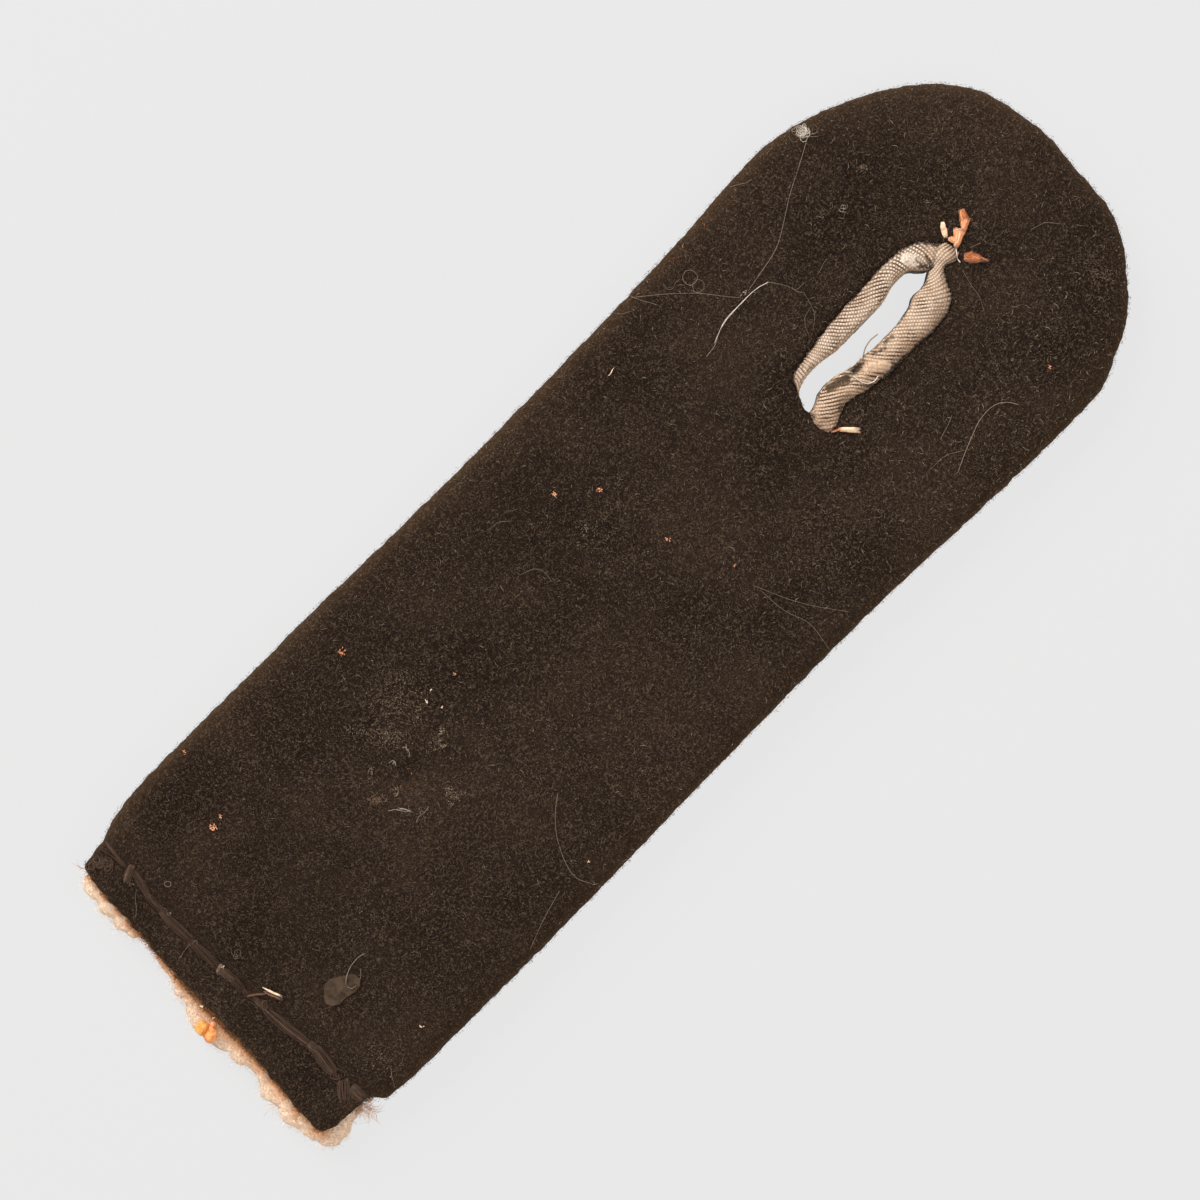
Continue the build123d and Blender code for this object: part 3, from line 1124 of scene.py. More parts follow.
def twill_finish():
    material, shader, start = start_finish("ribbed_twill", 0.8, 0.15, (1.0, 0.9, 0.8), 0.25)
    place = place_in_object(start)
    wobble = cloudy(place, 0.7, 2.0) - 0.5
    phase = painted(start, "phase") + wobble * 0.5
    rib = abs(phase.maths("SINE", phase * pi))
    bead = painted(start, "bead") + phase.maths("FLOOR", phase) * 0.5
    beads = abs(bead.maths("SINE", bead * pi))
    hairs = cloudy(place, 0.10, 2.0)
    thread = blend_colours(painted(start, "pale"), TWILL_TAN, TWILL_PALE)
    stain = rising(cloudy(place, 1.4, 3.0), 0.45, 0.75) * 0.55
    thread = blend_colours(stain, thread, TWILL_TAN)
    # Painted shade on the outer side of each lip.
    thread = blend_colours(painted(start, "shade"), thread, TWILL_SHADE)
    worn = rising(painted(start, "worn") + (hairs - 0.5) * 0.5, 0.30, 0.62)
    bare_thread = blend_colours(rising(painted(start, "pale"), 0.30, 0.90), TWILL_PINK, TWILL_WORN)
    thread = blend_colours(worn, thread, bare_thread)
    plain = 1 - worn * 0.9
    uneven = rising(cloudy(place, 2.2, 1.0), 0.40, 0.60) * 0.40 + 0.60
    gap = rising(rib + (hairs - 0.5) * 0.6, 0.92, 0.50) * plain * uneven
    notch_depth = (painted(start, "pale") * 0.75 + 0.20) * plain
    notch = rising(beads + (hairs - 0.5) * 0.5, 0.88, 0.42) * notch_depth
    colour = blend_colours(gap.maths("MAXIMUM", gap, notch * 0.85), thread, TWILL_GAP)
    cracks = curls(place, 0.9, 0.035) * worn * 0.55
    colour = blend_colours(cracks, colour, TWILL_GAP)
    hem = painted(start, "from_slot") + (cloudy(place, 0.8, 2.0) - 0.5) * 0.5
    colour = blend_colours(rising(hem, 0.0, -0.10) * 0.45, colour, TWILL_TAN)
    fold = rising(abs(hem), 0.07, 0.02) * rising(cloudy(place, 1.1, 1.0), 0.35, 0.55)
    colour = blend_colours(fold * 0.85, colour, TWILL_GAP)
    olive = rising(painted(start, "olive") + (hairs - 0.5) * 0.5, 0.30, 0.80)
    colour = blend_colours(olive * 0.95, colour, TWILL_OLIVE)
    # Painted shade: darker where the lips meet the cloth, low in the slot and in their shaded spots.
    dirt = painted(start, "dirt") + (cloudy(place, 0.35, 2.0) - 0.5) * 0.7
    colour = blend_colours(rising(dirt, 0.35, 0.95) * 0.94, colour, TWILL_DARK_SHADE)
    plug(colour, shader, "Base Color")
    raise_bumps(rib * 0.6 + beads * 0.25 + hairs * 0.4, shader, TWILL_DEPTH)
    return material


join_onto(lips[0], lips[1:])
twill_lips = lips[0]
twill_lips.data.materials.append(twill_finish())
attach(twill_lips, "root")
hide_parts("buttonhole_binding")

# %% [markdown]
# Everything else is thin: the nap of the wool, stitches, tufts, hairs. They are all strands, and a strand
# is a row of points with a ring round each and a tip at both ends. Thousands of them are made at once from
# arrays and joined in one mesh. Each strand has one tint, and its own small square of the texture map, so
# that the tint survives when the finish is stored as a picture.

# %% Strands
random = np.random.default_rng(7)
LOWEST = 0.3


def make_strands(name, paths, radii, tints, sides=3):
    """Strands from an array of paths (strand, point, x y z), with a radius for each strand in mm."""
    count, steps, _ = paths.shape
    forward = unit(np.gradient(paths, axis=1))
    sideways = unit(np.cross(forward, [0.05, 0.03, 1.0]))
    upward = np.cross(sideways, forward)
    angles = np.arange(sides) * tau / sides
    inner = slice(1, steps - 1)
    rings = paths[:, inner, None] + radii[:, None, None, None] * (
        sideways[:, inner, None] * np.cos(angles)[None, None, :, None]
        + upward[:, inner, None] * np.sin(angles)[None, None, :, None]
    )
    rings = rings.reshape(count, -1, 3)
    points = np.concatenate([paths[:, :1], rings, paths[:, -1:]], axis=1)
    size = points.shape[1]

    here = np.arange(sides)
    after = (here + 1) % sides
    faces = [np.stack([0 * here, 1 + after, 1 + here], axis=1)]
    for ring in range(steps - 3):
        low = 1 + ring * sides
        high = low + sides
        faces.append(np.stack([low + here, low + after, high + after], axis=1))
        faces.append(np.stack([low + here, high + after, high + here], axis=1))
    last = 1 + (steps - 3) * sides
    faces.append(np.stack([0 * here + size - 1, last + here, last + after], axis=1))
    faces = np.concatenate(faces)
    all_faces = (faces[None] + (np.arange(count) * size)[:, None, None]).reshape(-1, 3)

    mesh = bpy.data.meshes.new(name)
    mesh.from_pydata((points.reshape(-1, 3) * MM).tolist(), [], all_faces.tolist())
    piece = bpy.data.objects.new(name, mesh)
    bpy.context.scene.collection.objects.link(piece)
    paint(piece, "tint", np.repeat(tints, size))

    cells = int(np.ceil(np.sqrt(count)))
    inside = np.full((size, 2), 0.5)
    inside[1:-1, 0] = np.repeat(np.linspace(0.3, 0.7, steps - 2), sides)
    inside[1:-1, 1] = np.tile(0.2 + 0.6 * here / max(sides - 1, 1), steps - 2)
    inside[0] = (0.12, 0.5)
    inside[-1] = (0.88, 0.5)
    cell = np.stack([np.arange(count) % cells, np.arange(count) // cells], axis=1)
    places = ((cell[:, None] + inside[None]) / cells).reshape(-1, 2)
    layer = mesh.uv_layers.new(name="OFBake")
    layer.data.foreach_set("uv", places[all_faces.ravel()].astype(np.float32).ravel())
    take(piece)
    bpy.ops.object.shade_smooth()
    return piece


def add_tint_finish(piece, name, roughness, stops, sheen=0.05, shine=0.15):
    """A finish whose colour is the tint of the strand, along a ramp of colours."""
    material, shader, start = start_finish(name, roughness, sheen, (1, 0.9, 0.8), shine)
    inputs = {"Fac": painted(start, "tint")}
    plug(start.add("ShaderNodeValToRGB", {"stops": stops}, inputs), shader, "Base Color")
    piece.data.materials.append(material)
    return material


def finish_piece(piece):
    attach(piece, "root")
    print(piece.name, "has", triangles_in(piece), "triangles")


def joined(parts):
    """Arrays of the same kinds from several parts, put end to end."""
    return [np.concatenate(values) for values in zip(*parts)]


def face_height(x, y):
    """How high the wool, the twill or the felt stands at a place, in millimetres."""
    height = LOWEST
    for piece in (cover, twill_lips, core):
        place = seen_from_above(piece, x, y)
        if place is not None:
            height = max(height, place.z / MM)
    return height


# %% [markdown]
# The seam is sewn by hand with a soft yarn of many dark strands. Between two holes the yarn lies on the
# cloth as a flat smooth band, and at each hole it closes up and dives. Knots are loose turns of thread.

# %% Sew the seam
FLOATS = [
    # from px, py, to px, py, strands, width in pixels, tint, bend in pixels
    (103, 842, 126, 869, 9, 4.5, 0.24, 0.5),
    (97, 848, 122, 868, 5, 3.0, 0.20, -2.0),
    (132, 865, 125, 885, 22, 8.0, 0.42, 1.0),
    (131, 871, 148, 900, 18, 8.0, 0.24, -0.8),
    (145, 895, 161, 913, 18, 8.0, 0.26, 0.5),
    (158, 910, 192, 944, 20, 8.5, 0.22, 0.8),
    (187, 940, 220, 972, 22, 9.5, 0.22, -0.6),
    (221, 965, 215, 974, 7, 3.0, 0.70, 0.0),
    (218, 969, 234, 982, 18, 9.0, 0.32, 0.5),
    (231, 980, 243, 993, 14, 8.0, 0.26, 0.3),
    (241, 991, 257, 1003, 12, 6.0, 0.26, 0.4),
    (254, 999, 265, 1011, 12, 7.0, 0.30, 0.3),
    (262, 1007, 310, 1048, 26, 11.0, 0.24, 1.2),
    (307, 1044, 318, 1052, 18, 9.5, 0.38, 0.4),
    (313, 1048, 335, 1076, 30, 14.0, 0.27, 0.8),
    (343, 1079, 345, 1104, 26, 13.0, 0.30, 1.0),
    (350, 1087, 368, 1107, 28, 13.0, 0.36, 0.8),
]
# The small knots with pale tints are painted highlights.
KNOTS = [
    # px, py, radius in pixels, turns, strands, tint
    (97, 862, 6.0, 0.7, 24, 0.40),
    (107, 865, 5.5, 0.7, 26, 0.38),
    (90, 868, 4.5, 0.7, 12, 0.32),
    (131, 885, 2.0, 0.5, 3, 0.80),
    (163, 911, 2.0, 0.5, 4, 0.60),
    (167.5, 915, 2.0, 0.5, 4, 0.78),
    (184, 934, 2.6, 0.5, 5, 0.50),
    (193, 944, 3.0, 0.5, 7, 0.56),
    (262, 1007, 4.0, 0.6, 8, 0.40),
    (338, 1077, 6.0, 0.7, 14, 0.28),
]
THREAD_COLOURS = [
    (0.0, (0.020, 0.011, 0.0070)),
    (0.45, (0.088, 0.053, 0.036)),
    (0.75, (0.18, 0.125, 0.092)),
    (1.0, (0.42, 0.32, 0.25)),
]
THREAD_RADIUS = 0.036
YARN_HEIGHT = 0.20
FLOAT_STEPS = 18


def lay(px, py, above):
    """A place on the wool, from a point of the photograph and a height above the cloth in mm."""
    x, y = on_strap(px, py)
    return [x, y, face_height(x, y) + above]


def yarn(row):
    """Strands side by side in a flat band from one point to another, closed up at both ends."""
    start, end = np.array(row[0:2], float), np.array(row[2:4], float)
    strands, width, tint, bend = row[4:8]
    forward = (end - start) / np.linalg.norm(end - start)
    side = np.array([-forward[1], forward[0]])
    drift = random.uniform(-0.25, 0.25)
    paths = np.empty((strands, FLOAT_STEPS, 3))
    for strand in range(strands):
        lane = (strand + random.uniform(-0.4, 1.4)) / strands - 0.5
        first, last = random.uniform(-0.06, 0.08), random.uniform(0.92, 1.06)
        wave = random.uniform(0, tau)
        for step in range(FLOAT_STEPS):
            share = first + (last - first) * step / (FLOAT_STEPS - 1)
            arch = sin(pi * min(max(share, 0), 1))
            across = width * (lane + drift * (share - 0.5)) * (0.50 + 0.50 * arch ** 0.5) + bend * arch
            across += 0.35 * sin(wave + 5 * share)
            place = start + (end - start) * share + side * across
            above = YARN_HEIGHT * (1 - 2.4 * lane * lane) * arch ** 0.4 - 0.10 * (1 - arch) ** 4
            paths[strand, step] = lay(*place, above + random.normal(0, 0.006))
    return paths, np.clip(tint + random.normal(0, 0.11, strands), 0, 1)


def loops(px, py, radius, turns, strands, height):
    """Strands that turn about a place, each on its own small ellipse."""
    paths = np.empty((strands, FLOAT_STEPS, 3))
    for strand in range(strands):
        middle = np.array([px, py]) + random.normal(0, 0.30, 2) * radius
        right, down = radius * random.uniform(0.35, 1.0, 2)
        first = random.uniform(0, tau)
        sweep = tau * turns * random.uniform(0.5, 1.2)
        rise = height * random.uniform(0.4, 1.2)
        for step in range(FLOAT_STEPS):
            share = step / (FLOAT_STEPS - 1)
            angle = first + sweep * share
            place = middle + np.array([right * cos(angle), down * sin(angle)])
            paths[strand, step] = lay(*place, rise * (0.3 + sin(pi * share)))
    return paths


def knot(row):
    return loops(*row[:5], 0.20), np.clip(row[5] + random.normal(0, 0.14, row[4]), 0, 1)


paths, tints = joined([yarn(row) for row in FLOATS] + [knot(row) for row in KNOTS])
radii = random.uniform(0.8, 1.2, len(paths)) * THREAD_RADIUS
stitches = make_strands("seam_stitches", paths, radii, tints)
add_tint_finish(stitches, "dark_thread", 0.85, THREAD_COLOURS, 0.0, 0.04)
finish_piece(stitches)

# %% [markdown]
# The nap grows on every outer face of the wool, but not under the yarn of the seam. Particle hair could
# make it, but real strands of a few points each are lighter, stay where they are put and can be exported.
# They start at places picked at random by the area of the faces, and curl along the surface.

# %% Where the nap grows
NAP_SPREAD = 0.25
STRAND_POINTS = 3


def faces_of(piece):
    """Centres, normals and areas of a piece's faces, in millimetres."""
    mesh = piece.data
    count = len(mesh.polygons)
    centres, normals, areas = np.empty(count * 3), np.empty(count * 3), np.empty(count)
    mesh.polygons.foreach_get("center", centres)
    mesh.polygons.foreach_get("normal", normals)
    mesh.polygons.foreach_get("area", areas)
    return centres.reshape(-1, 3) / MM, normals.reshape(-1, 3), areas / MM / MM


def scatter(centres, areas, chosen, count, spread):
    """Faces picked at random by their area, with places spread about their centres."""
    share = np.where(chosen, areas, 0)
    picked = random.choice(len(areas), count, p=share / share.sum())
    return picked, centres[picked] + random.uniform(-spread, spread, (count, 3))


def grow(places, normals, headings, lengths, curl, lift):
    """Paths that start at places and curl along the surface while they rise from it and come back."""
    paths = np.empty((len(places), STRAND_POINTS, 3))
    side = np.cross(normals, headings)
    last = STRAND_POINTS - 1
    stride = lengths / last
    lifts = np.broadcast_to(lift, len(places))
    here = places.copy()
    for step in range(STRAND_POINTS):
        share = step / last
        paths[:, step] = here + normals * (lifts * sin(pi * min(share * 0.8 + 0.06, 1)))[:, None]
        angle = curl * (share + 0.5 / last)
        here = here + stride[:, None] * (
            headings * np.cos(angle)[:, None] + side * np.sin(angle)[:, None]
        )
    return paths


def along_surface(normals, wanted):
    """The wanted directions laid down on the surface."""
    return unit(wanted - normals * (wanted * normals).sum(axis=1, keepdims=True))


YARN_MARGIN = 1.0
YARN_EDGE = 0.35
centres, face_normals, areas = faces_of(cover)
out = looks_out(centres, face_normals)
on_top = (face_normals[:, 2] > 0.12) & (centres[:, 2] > FACE_ZONE[0])
for row in FLOATS:
    on_top &= mark_at(centres, *row[:4], row[5] / 2 + YARN_MARGIN) < YARN_EDGE
on_edge = (np.abs(face_normals[:, 2]) < 0.75) & (out > 0.45)
on_bottom = (face_normals[:, 2] < -0.6) & (centres[:, 2] < 0.6)
print("The nap has", round(areas[on_top].sum()), "square mm of face to cover")

# %% Grow the nap
NAP_COLOURS = [
    (0.0, (0.006, 0.0035, 0.002)),
    (0.30, (0.038, 0.0235, 0.0155)),
    (0.60, (0.092, 0.062, 0.042)),
    (0.85, (0.18, 0.134, 0.098)),
    (1.0, (0.34, 0.27, 0.205)),
]
BACKLIT_GINGER_COLOURS = [
    (0.0, (0.018, 0.009, 0.005)),
    (0.5, (0.066, 0.029, 0.011)),
    (1.0, (0.17, 0.085, 0.036)),
]
NAP_PIECES = 3
NAP_EACH = 19000
UNDER_NAP = 4000
EDGE_NAP = 10000
FLAT_PART = (-50.0, -25.0)
ROUND_PART = (-5.0, 30.0)
SUNNY_SIDE = (2.0, 14.0)
TONGUE_PART = (-56.0, -46.0)


def nap_tints(count):
    """Mostly dark fibres and a few bright ones."""
    return np.clip(random.beta(1.1, 2.1, count) + (random.random(count) < 0.04) * 0.4, 0, 1)


def grow_nap(name, chosen, count, length, lift):
    picked, places = scatter(centres, areas, chosen, count, NAP_SPREAD)
    around = face_normals[picked]
    headings = along_surface(around, random.normal(0, 1, (count, 3)) + np.array([0.35, 0.5, 0]))
    longest = 0.30 + 0.80 * ramp(np.abs(around[:, 2]), 0.2, 0.8)
    lengths = np.minimum(random.gamma(3.5, length / 3.5, count), longest)
    curl = random.normal(0, 1.2, count)
    lifts = random.uniform(0.02, lift, count)
    paths = grow(places, around, headings, lengths, curl, lifts)
    # Painted light: the nap is brighter on the sunny side of the round end. It is also brighter from the
    # flat part on towards the round end, and darker on the tongue.
    brighter = 0.80 + 0.20 * ramp(places[:, 1], *FLAT_PART) + 0.08 * ramp(places[:, 1], *ROUND_PART)
    brighter += 0.20 * ramp(places[:, 0], *SUNNY_SIDE) * ramp(places[:, 1], *ROUND_PART)
    brighter -= 0.22 * (1 - ramp(places[:, 1], *TONGUE_PART))
    tints = nap_tints(count) * brighter
    return make_strands(name, paths, random.uniform(0.013, 0.029, count), tints)


nap = [grow_nap("nap_%d" % part, on_top, NAP_EACH, 0.46, 0.12) for part in range(NAP_PIECES)]
nap.append(grow_nap("nap_under", on_bottom, UNDER_NAP, 0.8, 0.05))
add_tint_finish(nap[0], "nap_fibres", 0.8, NAP_COLOURS, 0.05, 0.10)
for piece in nap:
    if piece is not nap[0]:
        piece.data.materials.append(nap[0].data.materials[0])
    finish_piece(piece)

# %% [markdown]
# On the upright edges the fibres stick out a little, and their ginger tint is painted light: the glow of
# the table shining through them from behind.

# %% Nap along the edges
EDGE_SPREAD = 0.2
picked, places = scatter(centres, areas, on_edge, EDGE_NAP, EDGE_SPREAD)
around = face_normals[picked]
headings = along_surface(around, random.normal(0, 1, (EDGE_NAP, 3)))
headings += around * random.uniform(-0.1, 0.6, (EDGE_NAP, 1))
headings = unit(headings)
lengths = np.minimum(random.gamma(4.0, 0.060, EDGE_NAP), 0.45)
paths = grow(places, around, headings, lengths, random.normal(0, 1.0, EDGE_NAP), 0.02)
keep_above(paths, 0.03)
edge_nap = make_strands("edge_nap", paths, random.uniform(0.011, 0.022, EDGE_NAP), random.random(EDGE_NAP))
# Painted light: the ginger tint stands for the table's glow through the fibres.
add_tint_finish(edge_nap, "backlit_ginger_fibres", 0.75, BACKLIT_GINGER_COLOURS)
finish_piece(edge_nap)

# %% [markdown]
# Twill sheds fine pale fibres too. A thin fuzz of them breaks up the ribs and the outline of the lips.

# %% Fuzz on the lips
LIP_FUZZ = 3000
FUZZ_COLOURS = [
    (0.0, (0.16, 0.090, 0.050)),
    (0.5, (0.50, 0.37, 0.26)),
    (1.0, (0.86, 0.76, 0.64)),
]
centres_lips, normals_lips, areas_lips = faces_of(twill_lips)
shown = (centres_lips[:, 2] > SHOULDER - 0.2) & (normals_lips[:, 2] > -0.2)
picked, places = scatter(centres_lips, areas_lips, shown, LIP_FUZZ, 0.03)
around = normals_lips[picked]
headings = along_surface(around, random.normal(0, 1, (LIP_FUZZ, 3))) + around * 0.15
lengths = np.minimum(random.gamma(3.0, 0.10, LIP_FUZZ), 0.7)
paths = grow(places, around, headings, lengths, random.normal(0, 1.2, LIP_FUZZ), 0.03)
fuzz = make_strands("lip_fuzz", paths, random.uniform(0.010, 0.019, LIP_FUZZ), random.random(LIP_FUZZ))
add_tint_finish(fuzz, "pale_fuzz", 0.8, FUZZ_COLOURS)
finish_piece(fuzz)

# %% [markdown]
# At the raw end the felt frays into fluff, orange-brown where it leaves the cloth and pale farther out,
# which is partly painted light of the table shining through the thin fluff.

# %% Fluff of the raw end
FLUFF_COLOURS = [
    (0.0, (0.10, 0.036, 0.010)),
    (0.25, (0.32, 0.140, 0.060)),
    (0.50, (0.58, 0.340, 0.210)),
    (1.0, (0.76, 0.60, 0.47)),
]
FLUFF = 13000
WISPS = [
    # from px, py, to px, py, strands, tint
    (354, 1110, 371, 1115, 60, 0.62),
    (360, 1106, 372, 1112, 50, 0.55),
    (366, 1112, 378, 1119, 40, 0.50),
    (283, 1106, 268, 1098, 16, 0.40),
    (84, 872, 76, 869, 14, 0.36),
    (86, 874, 79, 880, 14, 0.85),
    (302, 1128, 296, 1134, 12, 0.60),
]
WISP_HEIGHT = 2.2
WISP_THICKER = 1.5


def wisp(row):
    """Loose fibres that leave the raw end towards a point and curl apart on the way."""
    start, end = np.array(on_strap(*row[0:2])), np.array(on_strap(*row[2:4]))
    count = row[4]
    places = np.column_stack([np.tile(start, (count, 1)), np.full(count, WISP_HEIGHT)])
    places += random.normal(0, 0.12, (count, 3))
    heading = np.append(end - start, 0)
    headings = np.tile(heading / np.linalg.norm(heading), (count, 1))
    headings[:, :2] += random.normal(0, 0.55, (count, 2))
    lengths = np.linalg.norm(heading) * random.uniform(0.5, 1.15, count)
    up = np.tile([0.0, 0.0, 1.0], (count, 1))
    curl = random.normal(0, 3.2, count)
    tints = row[5] + random.normal(0, 0.1, count)
    return grow(places, up, headings, lengths, curl, 0.05), tints


centres_core, normals_core, areas_core = faces_of(core)
bare_core = near_points(cloth_end, centres_core)
frayed = (centres_core[:, 1] < TONGUE_START) & (normals_core[:, 1] < 0.55)
frayed &= (looks_out(centres_core, normals_core) > 0.1) | (bare_core > 0.2)
picked, places = scatter(centres_core, areas_core, frayed, FLUFF, NAP_SPREAD)
around = normals_core[picked]
headings = random.normal(0, 0.7, (FLUFF, 3)) + around * 0.9
headings[:, 1] -= 0.6
headings[:, 2] *= 0.5
headings = unit(headings)
lengths = np.minimum(random.gamma(3.0, 0.16, FLUFF), 1.0)
paths = grow(places, around, headings, lengths, random.normal(0, 1.8, FLUFF), 0.04)
tints = 0.15 + bare_at(paths[:, 2]) + random.normal(0, 0.24, FLUFF)
paths, tints = joined([(paths, tints)] + [wisp(row) for row in WISPS])
tints = np.clip(tints, 0, 1)
keep_above(paths, 0.05)
radii = random.uniform(0.012, 0.026, len(paths))
radii[FLUFF:] *= WISP_THICKER
fluff = make_strands("raw_end_fluff", paths, radii, tints)
add_tint_finish(fluff, "felt_fluff", 0.8, FLUFF_COLOURS, 0.1)
finish_piece(fluff)

# %% [markdown]
# The cut edge of the cloth frays too. Its short fibres have a rusty colour and hide where the felt starts.

# %% Fringe of the cut cloth
RUST_COLOURS = [
    (0.0, (0.014, 0.0062, 0.0028)),
    (0.35, (0.085, 0.032, 0.0095)),
    (1.0, (0.40, 0.16, 0.050)),
]
FRINGE = 7000
at_cut = on_edge & (centres[:, 1] < CUT_PART) & (np.abs(centres[:, 0]) < CUT_HALF)
picked, places = scatter(centres, areas, at_cut, FRINGE, 0.2)
around = face_normals[picked]
headings = random.normal(0, 0.6, (FRINGE, 3)) + around
headings[:, 2] *= 0.5
headings = unit(headings)
lengths = np.minimum(random.gamma(3.5, 0.09, FRINGE), 0.65)
paths = grow(places, around, headings, lengths, random.normal(0, 1.2, FRINGE), 0.02)
paths[:, :, 2] = np.maximum(paths[:, :, 2], 0.05)
tints = np.clip(near_points(cloth_end, paths[:, 2]) / 0.35 + random.normal(0.1, 0.2, FRINGE), 0, 1)
fringe = make_strands("cloth_fringe", paths, random.uniform(0.012, 0.028, FRINGE), tints)
add_tint_finish(fringe, "rusty_fibres", 0.8, RUST_COLOURS)
finish_piece(fringe)

# %% [markdown]
# Bits of orange wool stick out where the buttonhole was worked: a tuft, a drop and a sliver at its top and
# a sliver at its foot. A few more lie on the cloth. Each is a bundle of fine strands that runs from one
# line to another, so a table of the two lines with their widths describes it. Its rim is painted darker
# than its middle, as painted shade on the round sides of the bundle.

# %% Orange wool
BUNDLES = [
    # from px, py, width, to px, py, width in pixels, strands, tint, height above the cloth in mm
    (942.3, 222.5, 2.5, 943.6, 230, 6, 44, 0.97, 0.25),
    (943.5, 229, 6, 945.5, 237.5, 3, 36, 0.90, 0.20),
    (961.3, 210.5, 5.5, 964.8, 221, 10, 80, 0.30, 0.40),
    (965, 219, 9.5, 963.5, 231, 3.8, 80, 0.52, 0.45),
    (959.6, 230, 12, 956, 246.5, 4, 110, 0.66, 0.42),
    (948.5, 238.5, 3, 957, 241, 9, 40, 0.60, 0.32),
    (953.5, 231, 1.5, 962, 229, 1.5, 6, 0.85, 0.45),
    (964.3, 257, 7, 972, 257.3, 12.5, 90, 0.30, 0.50),
    (970, 257.2, 12.5, 980, 259, 7.5, 90, 0.26, 0.45),
    (979, 259, 6, 988, 260.5, 2.5, 40, 0.12, 0.30),
    (832, 432, 1.5, 841, 429, 3.5, 22, 0.20, 0.22),
    (840, 429.3, 3.5, 859, 430.2, 5, 60, 0.86, 0.32),
    (264, 988, 1.5, 281.5, 996, 2.6, 12, 0.93, 0.25),
    # The next two bundles are painted shadow: dark strands below the cream sliver.
    (247, 997, 2, 266, 993.5, 2, 8, 0.02, 0.12),
    (265, 992, 2, 282, 999.5, 2.5, 12, 0.05, 0.10),
    (608, 376.5, 0.8, 614, 368, 0.8, 3, 0.72, 0.10),
]
ORANGE_COLOURS = [
    (0.0, (0.055, 0.018, 0.0095)),
    (0.25, (0.44, 0.135, 0.042)),
    (0.55, (0.80, 0.33, 0.150)),
    (0.75, (0.88, 0.47, 0.270)),
    (1.0, (0.84, 0.70, 0.50)),
]
BUNDLE_STEPS = 7
SHADED_RIM = 1.1


def bundle(row):
    """Fine strands between two lines across the way that the bundle goes, frayed at both ends."""
    start, end = np.array(row[0:2], float), np.array(row[3:5], float)
    forward = end - start
    side = np.array([-forward[1], forward[0]]) / np.linalg.norm(forward)
    strands, tint, height = row[6], row[7], row[8]
    paths = np.empty((strands, BUNDLE_STEPS, 3))
    lanes = random.uniform(-0.5, 0.5, strands)
    for strand, across in enumerate(lanes):
        level = random.uniform(0, 1) * (1 - 3.6 * across * across)
        first, last = random.uniform(-0.15, 0.10), random.uniform(0.90, 1.15)
        wave = random.uniform(0, tau)
        for step in range(BUNDLE_STEPS):
            share = first + (last - first) * step / (BUNDLE_STEPS - 1)
            width = row[2] + (row[5] - row[2]) * share
            place = start + forward * share + side * (across * width + 0.45 * sin(wave + 6 * share))
            rise = 0.75 + 0.25 * sin(pi * min(max(share, 0), 1))
            paths[strand, step] = lay(*place, 0.12 + height * level * rise)
    # Painted shade: the strands at the sides of a bundle are darker.
    tints = tint + 0.06 - SHADED_RIM * lanes * lanes + random.normal(0, 0.09, strands)
    return paths, np.clip(tints, 0, 1)


bundles = [bundle(row) for row in BUNDLES]
paths = np.concatenate([made[0] for made in bundles])
tints = np.concatenate([made[1] for made in bundles])
orange = make_strands("orange_tufts", paths, random.uniform(0.022, 0.045, len(paths)), tints)
add_tint_finish(orange, "orange_wool", 0.7, ORANGE_COLOURS, 0.3)
finish_piece(orange)

# %% [markdown]
# A bead of orange wool is caught in the raw end. It is soft balls pressed together: a yellow one, a redder
# one and a small red one. Each starts as an icosphere, is stretched to its place and is then made lumpy.

# %% The orange bead
BALLS = [
    # px, py, radius right, radius down in pixels, height of the middle in mm, how red
    (200.6, 1030.0, 7.8, 7.2, 2.8, 0.15),
    (208.2, 1036.2, 7.6, 9.2, 2.6, 0.75),
    (211.6, 1026.6, 3.6, 3.4, 2.3, 1.0),
]
BALL_THICK = 1.0
BALL_LUMPS = 0.12
BEAD_AMBER = (0.56, 0.17, 0.024)
BEAD_YELLOW = (0.72, 0.31, 0.055)
BEAD_RED = (0.62, 0.17, 0.042)
BEAD_SALMON = (0.80, 0.36, 0.15)
BEAD_HAIRS = (0.85, 0.55, 0.30)
# The bead's glow is painted light: the table's light shining through the wool.
BEAD_GLOW = 0.2 * FELT_GLOW


def ball(px, py, right, down, middle, red):
    """A lumpy ball whose outline is given in pixels of the photograph."""
    bpy.ops.mesh.primitive_ico_sphere_add(subdivisions=5, radius=MM)
    piece = bpy.context.object
    places = [
        (*on_strap(px + u * right, py - v * down), middle + w * BALL_THICK)
        for u, v, w in points_of(piece)
    ]
    move_points(piece, np.array(places))
    points = points_of(piece)
    move_points(piece, points + normals_of(piece) * (clouds_at(points, 0.45, 61) * BALL_LUMPS)[:, None])
    paint(piece, "red", np.full(len(points), red))
    return piece


def bead_finish():
    material, shader, start = start_finish("bead_wool", 0.85, 0.3, (1.0, 0.8, 0.6), 0.1)
    place = place_in_object(start)
    lumps = cloudy(place, 0.6, 3.0)
    yellow = blend_colours(rising(lumps, 0.35, 0.65), BEAD_AMBER, BEAD_YELLOW)
    salmon = blend_colours(rising(lumps, 0.35, 0.65), BEAD_RED, BEAD_SALMON)
    colour = blend_colours(painted(start, "red"), yellow, salmon)
    colour = blend_colours(curls(place, 0.35, 0.05) * 0.25, colour, BEAD_HAIRS)
    plug(colour, shader, "Base Color")
    # Painted light: a faint glow for the light that passes through the wool.
    plug(colour, shader, "Emission Color")
    shader.inputs["Emission Strength"].default_value = BEAD_GLOW
    raise_bumps(lumps + cloudy(place, 0.15, 2.0) * 0.4, shader, 0.15)
    return material


